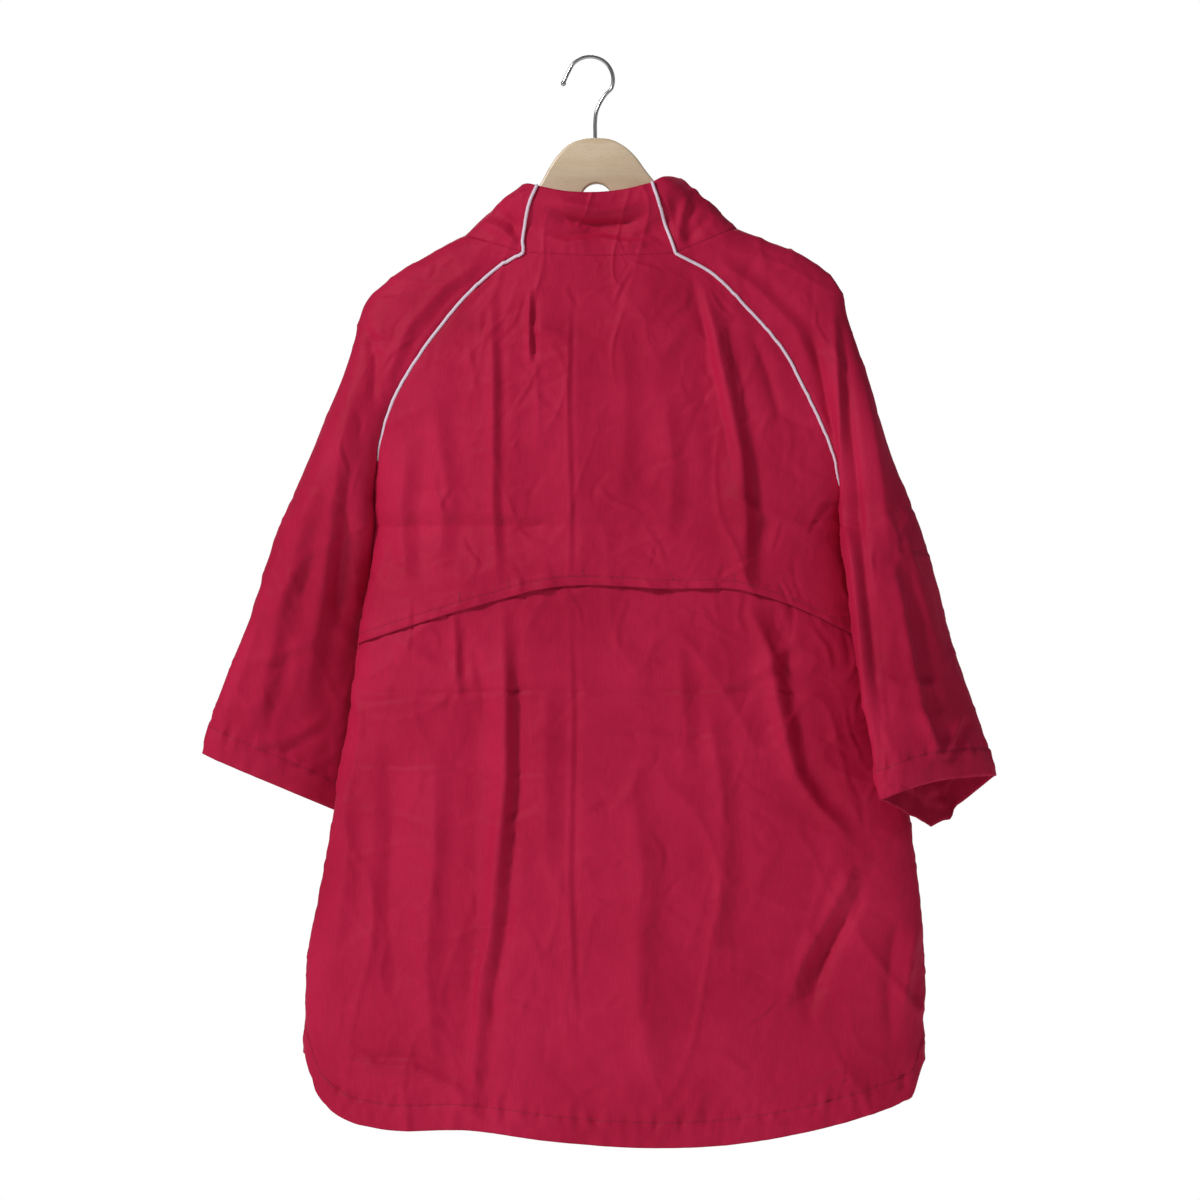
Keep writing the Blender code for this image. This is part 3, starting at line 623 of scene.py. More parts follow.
# Each lamp's name, place, size and watts. All aim at one point inside the garment.
LAMPS = [
    ("key", (-2.2, -2.1, 1.4), (0.6, 0.6), 76.0),
    ("side", (2.6, -1.4, 0.2), (0.8, 1.8), 4.0),
    ("behind", (-0.2, 2.8, 1.3), (1.4, 1.4), 22.0),
]
LAMP_AIM = (0.0, 0.0, -0.5)
WHITE = (1, 1, 1, 1)


def unit(vectors):
    return vectors / np.maximum(np.linalg.norm(vectors, axis=-1, keepdims=True), 1e-9)


def crease_height(placed, x, z):
    """How far a list of creases lifts the cloth at the places (x, z)."""
    total = np.zeros(x.shape)
    for crease in placed:
        path = np.array(crease.path, float)
        runs = np.diff(path, axis=0)
        lengths = np.hypot(runs[:, 0], runs[:, 1])
        starts = np.concatenate([[0], np.cumsum(lengths)])
        nearest = np.full(x.shape, 1e9)
        aside = np.zeros(x.shape)
        place = np.zeros(x.shape)
        for corner, run, length, start in zip(path, runs, lengths, starts):
            forward = ((x - corner[0]) * run[0] + (z - corner[1]) * run[1]) / length
            forward = np.clip(forward, 0, length)
            dx = x - corner[0] - forward * run[0] / length
            dz = z - corner[1] - forward * run[1] / length
            distance = np.hypot(dx, dz)
            closer = distance < nearest
            nearest = np.where(closer, distance, nearest)
            side = np.sign(dx * run[1] - dz * run[0])
            aside = np.where(closer, side * distance, aside)
            place = np.where(closer, start + forward, place)
        whole = starts[-1]
        end = CREASE_END * whole
        taper = np.sqrt(ease(place / end) * ease((whole - place) / end))
        ridge = np.exp(-np.abs(aside / crease.width) ** RIDGE_SHARPNESS)
        valley_x = VALLEY_ASIDE * crease.width
        valley = np.exp(-((aside + valley_x) / (VALLEY_WIDTH * crease.width)) ** 2)
        total += CREASE_GAIN * crease.height * taper * (ridge - crease.trough * valley)
    return total


def crumples(seed, low, high, area_dm2, upright):
    """Small straight creases scattered over a piece, most of them upright."""
    random = np.random.default_rng(seed)
    made = []
    for _ in range(int(area_dm2 * CRUMPLES_PER_DM2)):
        x, z = random.uniform(low, high)
        length = random.uniform(*CRUMPLE_LENGTH)
        if random.random() < upright:
            lean = random.normal(0, UPRIGHT_LEAN)
        else:
            lean = random.uniform(*LEVEL_LEAN)
        bend = random.normal(0, CRUMPLE_BEND) * length
        end = (x + length * math.sin(lean), z - length * math.cos(lean))
        middle = ((x + end[0]) / 2 + bend, (z + end[1]) / 2)
        height = random.uniform(*CRUMPLE_HEIGHT) * random.choice([-1, 1])
        width = random.uniform(*CRUMPLE_WIDTH)
        trough = CRUMPLE_TROUGH if height > 0 else 0.0
        made.append(Crease(width, height, trough, [(x, z), middle, end]))
    return made


def lattice_noise(points, cell, seed):
    """Smooth noise from -1 to 1 over space, from a seeded lattice."""
    random = np.random.default_rng(seed)
    values = random.uniform(-1, 1, (LATTICE_SIZE,) * 3)
    place = points @ LATTICE_TURN.T / cell + LATTICE_SHIFT
    low = np.floor(place).astype(int)
    part = place - low
    part = part * part * (3 - 2 * part)
    total = np.zeros(points.shape[:-1])
    for corner in range(8):
        step = np.array([corner & 1, corner >> 1 & 1, corner >> 2 & 1])
        index = (low + step) % LATTICE_SIZE
        weight = np.prod(np.where(step, part, 1 - part), axis=-1)
        total += weight * values[index[..., 0], index[..., 1], index[..., 2]]
    return total


def general_form(points):
    """Unevenness that all the cloth shares, so that it meets at the seams."""
    total = np.zeros(points.shape[:-1])
    for layers, noise in ((SOFT_LAYERS, lattice_noise), (SHARP_LAYERS, sharp_folds)):
        for height, stretch, cell, seed in layers:
            total += height * noise(points * np.array(stretch), cell, seed)
    return total


def sharp_folds(points, cell, seed):
    """Noise with creased ridges: high where a smooth noise passes through zero."""
    ridge = 1 - np.abs(lattice_noise(points, cell, seed)) / RIDGE_SPAN
    patch = ease(0.5 + PATCH_GAIN * lattice_noise(points, cell * PATCH_CELL, seed + PATCH_SEED))
    return patch * np.clip(ridge, RIDGE_FLOOR, 1) ** 3


def normals_of(points, facing):
    """Unit normals of a grid, pointing away from facing."""
    normals = unit(np.cross(np.gradient(points, axis=0), np.gradient(points, axis=1)))
    outward = np.sum(normals * (points - facing), axis=-1).mean()
    return normals if outward > 0 else -normals


def even_columns(count):
    """Column places that are evenly spaced along the cloth of the body's half ring."""
    angle = np.linspace(0, math.pi, 4001)
    x = BODY_HALF_WIDTH * (1 - np.cos(angle))
    y = BODY_HALF_DEPTH * np.sin(angle) ** PANEL_FLATNESS
    run = np.concatenate([[0], np.cumsum(np.hypot(np.diff(x), np.diff(y)))])
    return np.interp(np.linspace(0, run[-1], count + 1), run, angle) / math.pi


def rows_between(top, bottom, rows):
    """Heights of evenly spaced rows after the line top, down to the line bottom."""
    parts = np.linspace(0, 1, rows + 1)[1:, None]
    return top * (1 - parts) + bottom * parts


def raglan_stations():
    return np.linspace(0, RAGLAN_STATIONS, RAGLAN_CELLS + 1)


def yoke_grid(columns):
    stations = raglan_stations()
    upper, upper_across = raglan_rows(stations, columns, front=False)
    sag = NECK_SEAM_SAG * 4 * upper_across * (1 - upper_across)
    upper[..., 2] -= sag * ease(1 - stations / RAGLAN_STATIONS)[:, None]
    edge = yoke_edge(part_across(columns))
    z = rows_between(UNDERARM_Z, edge, YOKE_TAIL_CELLS)
    lower, _ = side_seam_rows(z, columns, front=False)
    return np.concatenate([upper, lower])


def lower_back_grid(columns):
    across = part_across(columns)
    top = yoke_edge(across) + YOKE_OVERLAP
    z = np.vstack([top, rows_between(top, back_hem(across), LOWER_BACK_CELLS)])
    return side_seam_rows(z, columns, front=False)[0]


def neckline_z(points):
    last = len(points) - 1
    corners = (0, SLIT_CELLS, last // 2, last - SLIT_CELLS, last)
    x = [points[j, 0] for j in corners]
    z = [points[0, 2], SLIT_TOP_Z, SLIT_BOTTOM_Z, SLIT_TOP_Z, points[-1, 2]]
    return np.interp(points[:, 0], x, z)


def front_grid(columns):
    upper, _ = raglan_rows(raglan_stations(), columns, front=True)
    rise = (upper[:, :, 2] - UNDERARM_Z) / (upper[:1, :, 2] - UNDERARM_Z)
    upper[..., 2] = UNDERARM_Z + (neckline_z(upper[0]) - UNDERARM_Z) * rise
    z = rows_between(UNDERARM_Z, front_hem(part_across(columns)), FRONT_TAIL_CELLS)
    lower, _ = side_seam_rows(z, columns, front=True)
    return np.concatenate([upper, lower])


def sleeve_grid(table):
    tube = np.linspace(RAGLAN_STATIONS, len(table) - 1, SLEEVE_TUBE_CELLS + 1)[1:]
    stations = np.concatenate([raglan_stations(), tube])
    turns = np.linspace(0, 1, SLEEVE_CELLS + 1)
    return sleeve_point(table, stations[:, None], turns[None, :])


def collar_grid(name, base, top, bulge):
    lengths = np.linalg.norm(np.diff(base, axis=0), axis=1)
    place = np.concatenate([[0], np.cumsum(lengths)]) / lengths.sum()
    edge = np.stack([along(top, "along", name, place) for name in "xyz"], axis=-1)
    part = np.linspace(0, 1, COLLAR_CELLS + 1)[:, None, None]
    points = base[None] * (1 - part) + edge[None] * part
    outward = base - base.mean(axis=0)
    outward[:, 2] = 0
    outward = unit(outward)
    swell = ease(place / COLLAR_BULGE_START)[None, :, None]
    points = points + bulge * swell * np.sin(math.pi * part) * outward[None]
    if name in SEAM_BEND_REACH:
        near = ease(1 - place / SEAM_BEND_REACH[name])[None, :]
        points[..., 0] -= SEAM_BEND * near * np.sin(math.pi * part[..., 0])
    return points


def edge_distance(points):
    """Distance of each point of a grid from its four edges: first, last row and column."""
    down = np.linalg.norm(np.diff(points, axis=0), axis=-1)
    over = np.linalg.norm(np.diff(points, axis=1), axis=-1)
    from_top = np.vstack([np.zeros(points.shape[1]), np.cumsum(down, axis=0)])
    from_left = np.hstack([np.zeros((points.shape[0], 1)), np.cumsum(over, axis=1)])
    return from_top, from_top[-1] - from_top, from_left, from_left[:, -1:] - from_left


def bell(distance, width):
    return np.exp(-((distance / width) ** 2))


def hem_band(distance, width, along_hem, seed):
    """A turned hem: thicker cloth below a stitched line that draws it into puckers."""
    thick = HEM_STEP * ease((width - distance) / 1.6 + 0.5)
    places = np.stack([along_hem, distance * PUCKER_STRETCH, np.zeros_like(distance)], axis=-1)
    coarse, fine = HEM_PUCKER_CELLS
    pucker = lattice_noise(places, coarse, seed) + 0.6 * lattice_noise(places, fine, seed + 1)
    from_line = distance - width
    near = np.maximum(bell(from_line, HEM_PUCKER_REACH), 0.6 * bell(distance, HEM_EDGE_REACH))
    return thick - HEM_LINE_DEPTH * bell(from_line, 1.5) + HEM_PUCKER * pucker * near


def seam_groove(distance):
    return -SEAM_GROOVE * bell(distance, 2 * SEAM_GROOVE)


def seam_pucker(distance, run, seed):
    """Small puckers along a seam, at this distance from it."""
    places = np.stack([run, distance * SEAM_PUCKER_STRETCH, np.zeros_like(distance)], axis=-1)
    near = bell(distance, SEAM_PUCKER_REACH)
    return SEAM_PUCKER * lattice_noise(places, SEAM_PUCKER_CELL, seed) * near


# ---------------------------------------------------------------- materials
NOISE = "ShaderNodeTexNoise"
WAVE = "ShaderNodeTexWave"
MAPPING = "ShaderNodeMapping"
TAFFETA_TONES = [
    (0.25, (0.417, 0.0062, 0.0415)),
    (0.50, (0.497, 0.0104, 0.0560)),
    (0.80, (0.576, 0.0160, 0.0715)),
]
THREAD_TONES = [(0.3, (0.16, 0.006, 0.02)), (0.7, (0.34, 0.016, 0.045))]
PIPING_TONES = [(0.0, (0.78, 0.62, 0.76)), (1.0, (0.90, 0.76, 0.88))]
BEECH_TONES = [(0.30, (0.72, 0.54, 0.35)), (0.52, (0.82, 0.65, 0.45)), (0.75, (0.88, 0.72, 0.53))]
BEECH_FLECK = (0.60, 0.42, 0.25, 1)
WIRE_TONES = [(0.3, (0.42, 0.42, 0.43)), (0.7, (0.62, 0.62, 0.63))]


def set_inputs(made, **inputs):
    for name, value in inputs.items():
        made.inputs[name.replace("_", " ")].default_value = value


def node(tree, kind, vector=None, **inputs):
    """A new node with these inputs, and its Vector from another node's output."""
    made = tree.nodes.new(kind)
    set_inputs(made, **inputs)
    if vector is not None:
        tree.links.new(vector, made.inputs["Vector"])
    return made


def new_material(name):
    made = bpy.data.materials.new(name)
    made.use_nodes = True
    return made, made.node_tree, made.node_tree.nodes["Principled BSDF"]


def object_place(tree):
    return tree.nodes.new("ShaderNodeTexCoord").outputs["Object"]


def colour_ramp(tree, factor, stops):
    """The colour that a factor picks between these stops."""
    ramp = tree.nodes.new("ShaderNodeValToRGB")
    elements = ramp.color_ramp.elements
    while len(elements) < len(stops):
        elements.new(0.5)
    for element, (place, colour) in zip(elements, stops):
        element.position = place
        element.color = (*colour, 1)
    tree.links.new(factor, ramp.inputs["Fac"])
    return ramp.outputs["Color"]


def bump(tree, height, strength, distance, over=None):
    """The normal of a bumpy surface, laid over another one's."""
    made = node(tree, "ShaderNodeBump", Strength=strength, Distance=distance)
    tree.links.new(height, made.inputs["Height"])
    if over is not None:
        tree.links.new(over, made.inputs["Normal"])
    return made.outputs["Normal"]


def product(tree, one, other):
    """Two outputs multiplied, or one output by a number."""
    made = tree.nodes.new("ShaderNodeMath")
    made.operation = "MULTIPLY"
    tree.links.new(one, made.inputs[0])
    if isinstance(other, float):
        made.inputs[1].default_value = other
    else:
        tree.links.new(other, made.inputs[1])
    return made.outputs[0]


def mixed_colour(tree, kind, one):
    """A colour mix node of this kind, with its first colour linked."""
    made = node(tree, "ShaderNodeMix")
    made.data_type = "RGBA"
    made.blend_type = kind
    tree.links.new(one, made.inputs["A"])
    return made


def between(tree, factor, low, high):
    """A factor, mapped to run from low to high."""
    made = node(tree, "ShaderNodeMapRange", To_Min=low, To_Max=high)
    tree.links.new(factor, made.inputs["Value"])
    return made.outputs["Result"]


def taffeta():
    """Crimson taffeta: a fine plain weave with slubs, faint mottling and a soft sheen."""
    made, tree, shader = new_material("taffeta")
    place = object_place(tree)
    link = tree.links.new
    mottle = node(tree, NOISE, place, Scale=9.0, Detail=5.0, Roughness=0.6).outputs["Fac"]
    upright = node(tree, MAPPING, place, Scale=(1.0, 1.0, 0.06)).outputs["Vector"]
    slub = node(tree, NOISE, upright, Scale=900.0, Detail=2.0).outputs["Fac"]
    blend = mixed_colour(tree, "OVERLAY", colour_ramp(tree, mottle, TAFFETA_TONES))
    blend.inputs["Factor"].default_value = 0.16
    link(slub, blend.inputs["B"])
    link(blend.outputs["Result"], shader.inputs["Base Color"])
    link(between(tree, mottle, 0.56, 0.70), shader.inputs["Roughness"])
    threads = []
    for direction in "XZ":
        wave = node(tree, WAVE, place, Scale=420.0)
        wave.bands_direction = direction
        threads.append(wave.outputs["Fac"])
    weave = bump(tree, product(tree, *threads), 0.10, 0.0002)
    crinkle = node(tree, NOISE, place, Scale=130.0, Detail=4.0, Roughness=0.65).outputs["Fac"]
    link(bump(tree, crinkle, 0.35, 0.0006, weave), shader.inputs["Normal"])
    set_inputs(
        shader, Sheen_Weight=0.09, Sheen_Roughness=0.35, Sheen_Tint=(1.0, 0.22, 0.42, 1),
        Specular_IOR_Level=0.13,
    )
    return made


def thread():
    made, tree, shader = new_material("thread")
    tones = node(tree, NOISE, Scale=700.0, Detail=2.0).outputs["Fac"]
    tree.links.new(colour_ramp(tree, tones, THREAD_TONES), shader.inputs["Base Color"])
    set_inputs(shader, Roughness=0.5)
    return made


def piping_cloth():
    """Lilac-white satin, folded over a cord on the bias."""
    made, tree, shader = new_material("piping_cloth")
    place = object_place(tree)
    tilt = node(tree, MAPPING, place, Rotation=(0.0, 0.7, 0.0)).outputs["Vector"]
    bias = node(tree, WAVE, tilt, Scale=260.0, Distortion=1.5).outputs["Fac"]
    tree.links.new(colour_ramp(tree, bias, PIPING_TONES), shader.inputs["Base Color"])
    tree.links.new(bump(tree, bias, 0.3, 0.0002), shader.inputs["Normal"])
    set_inputs(shader, Roughness=0.45, Sheen_Weight=0.3)
    return made


def beech():
    """Lacquered beech: long pale grain with short dark flecks."""
    made, tree, shader = new_material("beech")
    place = object_place(tree)
    link = tree.links.new
    long_way = node(tree, MAPPING, place, Scale=(1.2, 9.0, 9.0)).outputs["Vector"]
    grain = node(tree, NOISE, long_way, Scale=7.0, Detail=6.0, Roughness=0.55, Distortion=0.6)
    grain = grain.outputs["Fac"]
    short_way = node(tree, MAPPING, place, Scale=(60.0, 500.0, 500.0)).outputs["Vector"]
    flecks = node(tree, NOISE, short_way, Scale=3.0, Detail=1.0).outputs["Fac"]
    mask = colour_ramp(tree, flecks, [(0.60, (0, 0, 0)), (0.68, (1, 1, 1))])
    mixed = mixed_colour(tree, "MIX", colour_ramp(tree, grain, BEECH_TONES))
    mixed.inputs["B"].default_value = BEECH_FLECK
    link(product(tree, mask, 0.35), mixed.inputs["Factor"])
    link(mixed.outputs["Result"], shader.inputs["Base Color"])
    link(bump(tree, grain, 0.12, 0.0004), shader.inputs["Normal"])
    set_inputs(shader, Roughness=0.34, Coat_Weight=0.25, Coat_Roughness=0.2)
    return made


def plated_wire():
    made, tree, shader = new_material("plated_wire")
    scratch = node(tree, NOISE, Scale=220.0, Detail=3.0).outputs["Fac"]
    tree.links.new(between(tree, scratch, 0.14, 0.30), shader.inputs["Roughness"])
    tree.links.new(colour_ramp(tree, scratch, WIRE_TONES), shader.inputs["Base Color"])
    set_inputs(shader, Metallic=1.0)
    return made


def pale_floor():
    made, _, shader = new_material("pale_floor")
    set_inputs(
        shader, Base_Color=(0.85, 0.85, 0.85, 1), Roughness=0.9,
        Emission_Color=(1, 1, 1, 1), Emission_Strength=0.40,
    )
    return made


# ---------------------------------------------------------------- objects
def mesh_object(name, verts, faces, material):
    mesh = bpy.data.meshes.new(name)
    mesh.from_pydata([tuple(v) for v in np.asarray(verts) * MM], [], faces)
    mesh.validate()
    mesh.shade_smooth()
    made = bpy.data.objects.new(name, mesh)
    made.data.materials.append(material)
    bpy.context.scene.collection.objects.link(made)
    return made


def grid_faces(rows, columns, flip):
    faces = []
    for i in range(rows - 1):
        for j in range(columns - 1):
            a = i * columns + j
            quad = (a, a + 1, a + columns + 1, a + columns)
            faces.append(quad[::-1] if flip else quad)
    return faces


def shell(name, points, normals, material):
    """A thin cloth shell whose outer face is the grid of points."""
    rows, columns = points.shape[:2]
    over = points[0, 1] - points[0, 0]
    down = points[1, 0] - points[0, 0]
    flip = np.dot(np.cross(over, down), normals[0, 0]) < 0
    made = mesh_object(name, points.reshape(-1, 3), grid_faces(rows, columns, flip), material)
    thick = made.modifiers.new("cloth", "SOLIDIFY")
    thick.thickness = SHELL_THICKNESS * MM
    thick.offset = -1
    return made


def stitches(name, line, normals, material, lift=0.25, pitch=STITCH_PITCH, size=STITCH_LENGTH):
    """Short raised threads along a line of points on the cloth."""
    line = np.asarray(line)
    runs = np.linalg.norm(np.diff(line, axis=0), axis=1)
    place = np.concatenate([[0], np.cumsum(runs)])
    verts, faces = [], []
    for start in np.arange(0, place[-1] - size, pitch):
        ends = []
        for at in (start, start + size / 2, start + size):
            point = np.array([np.interp(at, place, line[:, k]) for k in range(3)])
            out = unit(np.array([np.interp(at, place, normals[:, k]) for k in range(3)]))
            ends.append((point, out))
        forward = unit(ends[2][0] - ends[0][0])
        for index, (point, out) in enumerate(ends):
            aside = unit(np.cross(out, forward))
            rise = lift if index == 1 else -0.05
            wide = STITCH_WIDTH / 2 * (1.0 if index == 1 else 0.6)
            for turn in range(STITCH_SIDES):
                angle = 2 * math.pi * turn / STITCH_SIDES
                offset = aside * math.cos(angle) * wide + out * (math.sin(angle) * wide + rise)
                verts.append(point + offset)
        last = len(verts) - STITCH_SIDES
        first = last - 2 * STITCH_SIDES
        for ring in (first, first + STITCH_SIDES):
            for turn in range(STITCH_SIDES):
                a = ring + turn
                b = ring + (turn + 1) % STITCH_SIDES
                faces.append((a, b, b + STITCH_SIDES, a + STITCH_SIDES))
        faces.append(tuple(range(first + STITCH_SIDES - 1, first - 1, -1)))
        faces.append(tuple(range(last, last + STITCH_SIDES)))
    return mesh_object(name, verts, faces, material)


def tube(name, line, radius, sides, material):
    """A round tube with closed, rounded ends along a line of points."""
    line = np.asarray(line, float)
    forward = unit(np.gradient(line, axis=0))
    side = unit(np.cross(forward, TUBE_UPRIGHT))
    up = np.cross(side, forward)
    turns = np.linspace(0, 2 * math.pi, sides, endpoint=False)
    verts, faces = [], []
    for point, a, b in zip(line, side, up):
        for turn in turns:
            verts.append(point + radius * (a * math.cos(turn) + b * math.sin(turn)))
    for i in range(len(line) - 1):
        for k in range(sides):
            a = i * sides + k
            b = i * sides + (k + 1) % sides
            faces.append((a, b, b + sides, a + sides))
    for end, way in ((0, -1), (len(line) - 1, 1)):
        tip = len(verts)
        verts.append(line[end] + forward[end] * way * radius * TUBE_NOSE)
        for k in range(sides):
            a = end * sides + k
            b = end * sides + (k + 1) % sides
            faces.append((b, a, tip) if way < 0 else (a, b, tip))
    return mesh_object(name, verts, faces, material)


def even_line(points, step):
    """The same smooth line with points every step along it."""
    points = np.asarray(points, float)
    run = np.concatenate([[0], np.cumsum(np.linalg.norm(np.diff(points, axis=0), axis=1))])
    at = np.linspace(0, run[-1], int(run[-1] / step) + 2)
    return np.stack([smooth(run, points[:, k], at) for k in range(points.shape[1])], axis=-1)


def flat_size(points):
    """Width and length of the cloth in a grid: its widest row and its longest column."""
    over = np.linalg.norm(np.diff(points, axis=1), axis=-1).sum(axis=1)
    down = np.linalg.norm(np.diff(points, axis=0), axis=-1).sum(axis=0)
    return over.max() * MM, down.max() * MM


def flat_area(points):
    a = points[1:, :-1] - points[:-1, :-1]
    b = points[:-1, 1:] - points[:-1, :-1]
    return np.linalg.norm(np.cross(a, b), axis=-1).sum() * MM * MM


def settle(piece, node_name):
    """Hangs a cloth piece on the root and hides the CAD part named node_name."""
    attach(piece, "root")
    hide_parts(node_name)


# ---------------------------------------------------------------- the cloth's form
def plain_sheets():
    """The grids of points of every cloth piece, without their creases."""
    columns = even_columns(BACK_CELLS)
    points = {
        "back_yoke": yoke_grid(columns),
        "back_panel": lower_back_grid(columns),
        "front_panel": front_grid(even_columns(FRONT_CELLS)),
        "sleeve_left": sleeve_grid(LEFT_SLEEVE),
        "sleeve_right": sleeve_grid(RIGHT_SLEEVE),
    }
    front = points["front_panel"][0]
    slit = SLIT_CELLS + 1
    bases = {
        "collar_left": np.concatenate([points["sleeve_left"][0], front[1:slit]]),
        "collar_right": np.concatenate([points["sleeve_right"][0], front[-2:-slit - 1:-1]]),
        "collar_back": points["back_yoke"][0],
    }
    tops = {
        "collar_left": LEFT_COLLAR_TOP,
        "collar_right": RIGHT_COLLAR_TOP,
        "collar_back": BACK_COLLAR_TOP,
    }
    for name, base in bases.items():
        bulge = 0 if name == "collar_back" else COLLAR_BULGE
        points[name] = collar_grid(name, base, tops[name], bulge)
    return points


def inside_point(name, grid):
    if name.startswith("sleeve"):
        return grid.mean(axis=1, keepdims=True)
    if name.startswith("collar"):
        return np.array([10.0, 0.0, -160.0])
    return np.array([15.0, 0.0, -600.0])


def folds_of(name, grid):
    """Broad folds of the body, nearly as its CAD solid has them."""
    if name == "front_panel":
        folds, sign = FRONT_FOLDS, 1
    elif name in ("back_yoke", "back_panel"):
        folds, sign = BACK_FOLDS, -1
    else:
        return grid
    width = grid[:, -1:, 0] - grid[:, :1, 0]
    across = (grid[..., 0] - grid[:, :1, 0]) / width
    inside = ease(np.minimum(across, 1 - across) / FOLD_MARGIN)
    moved = grid.copy()
    moved[..., 1] += sign * inside * broad_fold(folds, grid[..., 0], grid[..., 2])
    return moved


def broad_fold(folds, x, z):
    total = np.zeros_like(x)
    for fold in folds:
        run = np.array([fold.x1 - fold.x0, fold.z1 - fold.z0])
        length = np.hypot(*run)
        run = run / length
        forward = (x - fold.x0) * run[0] + (z - fold.z0) * run[1]
        aside = (x - fold.x0) * run[1] - (z - fold.z0) * run[0]
        taper = ease(forward / FOLD_TAPER) * ease((length - forward) / FOLD_TAPER)
        total += fold.height * taper * np.exp(-((aside / fold.half_width) ** 2))
    return total


def collar_roll(up, x):
    """The collar's back leans out near its top and draws in above the neck seam."""
    wavy = 1 + 0.25 * np.sin(x / 13.0 + 3.0 * up)
    behind = ease((110 - np.abs(x - 5)) / 60.0)
    out = np.exp(-(((up - 0.78) / 0.16) ** 2))
    drawn_in = np.exp(-(((up - 0.40) / 0.17) ** 2))
    return COLLAR_ROLL * wavy * behind * (0.7 * out - drawn_in)


def yoke_gap(x):
    return sum(height * np.exp(-(((x - middle) / half) ** 2)) for middle, half, height in YOKE_GAPS)


def creased(name, grid, normals):
    """The grid with its creases, crumples, hems and seam grooves, moved along the normals."""
    x, z = grid[..., 0], grid[..., 2]
    top, bottom, left, right = edge_distance(grid)
    width, length = (size / MM for size in flat_size(grid))
    up = np.linspace(0, 1, grid.shape[0])[:, None]
    run = np.linspace(0, 1, grid.shape[1])[None, :] * width + 0 * x
    rise = up * length + 0 * x
    placed, seed, upright = CREASES_OF[name]
    box = (x.min(), z.min()), (x.max(), z.max()), flat_area(grid) * 100
    if name in ("back_yoke", "back_panel"):
        box = BACK_BOX
    margin = ease(np.minimum(left, right) / CREASE_MARGIN)
    lift = general_form(grid)
    small = crumples(seed, *box, upright)
    if name.startswith("sleeve"):
        half = 2 * np.arange(grid.shape[1]) / (grid.shape[1] - 1)
        in_front = ease(0.5 + (half - 1) / FRONT_BLEND)[None, :]
        lift += margin * (1 - in_front) * crease_height(placed + small, x, z)
        front = LEFT_FRONT_CREASES if name == "sleeve_left" else RIGHT_FRONT_CREASES
        more = crumples(seed + 40, *box, upright)
        lift += margin * in_front * crease_height(front + more, x, z)
        lift += hem_band(bottom, CUFF_HEM, run, 33)
        lift -= CUFF_ROLL * np.clip(1 - bottom / CUFF_HEM, 0, 1) ** 2
    else:
        lift += margin * crease_height(placed + small, x, z)
    if name in ("back_panel", "front_panel"):
        lift += hem_band(bottom, TAIL_HEM, run, 31)
    if name.startswith("collar"):
        lift += seam_pucker(top, run, 39) + collar_roll(up, x)
    else:
        for distance in (left, right):
            lift += seam_groove(distance) + seam_pucker(distance, rise, 35)
    if name == "back_yoke":
        lift += yoke_tail(x, bottom, run)
    if name == "back_panel":
        lift += under_yoke(x, z, run)
    return grid + normals * lift[..., None]


def yoke_tail(x, bottom, run):
    """The yoke's free edge: turned under, stitched, and away from the back in places."""
    lift = YOKE_LIFT * ease(1 - bottom / YOKE_LIFT_REACH)
    lift += YOKE_TURNING_STEP * ease((YOKE_TURNING - bottom) / 2.0)
    lift += seam_pucker(bottom, run, 37)
    lift += yoke_gap(x) * ease(1 - bottom / YOKE_GAP_REACH) ** 2
    from_stitches = bottom - YOKE_STITCH_UP
    lift -= YOKE_LINE_DEPTH * bell(from_stitches, 1.3)
    return lift + 0.5 * seam_pucker(np.abs(from_stitches), run, 41)


def under_yoke(x, z, run):
    """How the lower back lies behind the yoke's edge and puckers along it."""
    below = yoke_edge((x - x[:, :1]) / (x[:, -1:] - x[:, :1])) - z
    lift = -UNDER_YOKE_DEPTH * (1 - ease((below + 4.0) / YOKE_LIFT_REACH))
    lift -= 0.4 * bell(below, 3.0)
    return lift + 0.6 * seam_pucker(np.abs(below), run, 38)


def make_sheets():
    """Creased points and outward normals of every cloth piece."""
    made, outward = {}, {}
    for name, grid in plain_sheets().items():
        folded = folds_of(name, grid)
        normals = normals_of(folded, inside_point(name, folded))
        made[name] = (folded, normals)
    for side, edge in (("left", 0), ("right", -1)):
        sleeve = made[f"sleeve_{side}"][1]
        rows = slice(0, RAGLAN_CELLS)
        share(made["back_yoke"][1][rows, edge], sleeve[rows, 0])
        share(made["front_panel"][1][rows, edge], sleeve[rows, -1])
        share(made["collar_back"][1][:, edge], made[f"collar_{side}"][1][:, 0])
    for name, (folded, normals) in made.items():
        made[name] = creased(name, folded, normals)
    close_seams(made)
    for name, points in made.items():
        outward[name] = normals_of(points, inside_point(name, points))
    return made, outward


def close_seams(points):
    """Brings the two edges of each seam together, and the cloth beside them along."""
    rows = slice(0, RAGLAN_CELLS + 1)
    for side, edge in (("left", 0), ("right", -1)):
        sleeve = points[f"sleeve_{side}"]
        join(points["back_yoke"][rows], sleeve[rows], edge, 0)
        join(points["front_panel"][rows], sleeve[rows], edge, -1)
        join(points["collar_back"], points[f"collar_{side}"], edge, 0)
        neck = sleeve.shape[1]
        collar = points[f"collar_{side}"].swapaxes(0, 1)
        join(sleeve.swapaxes(0, 1), collar[:neck], 0, 0)
    join(points["back_yoke"].swapaxes(0, 1), points["collar_back"].swapaxes(0, 1), 0, 0)


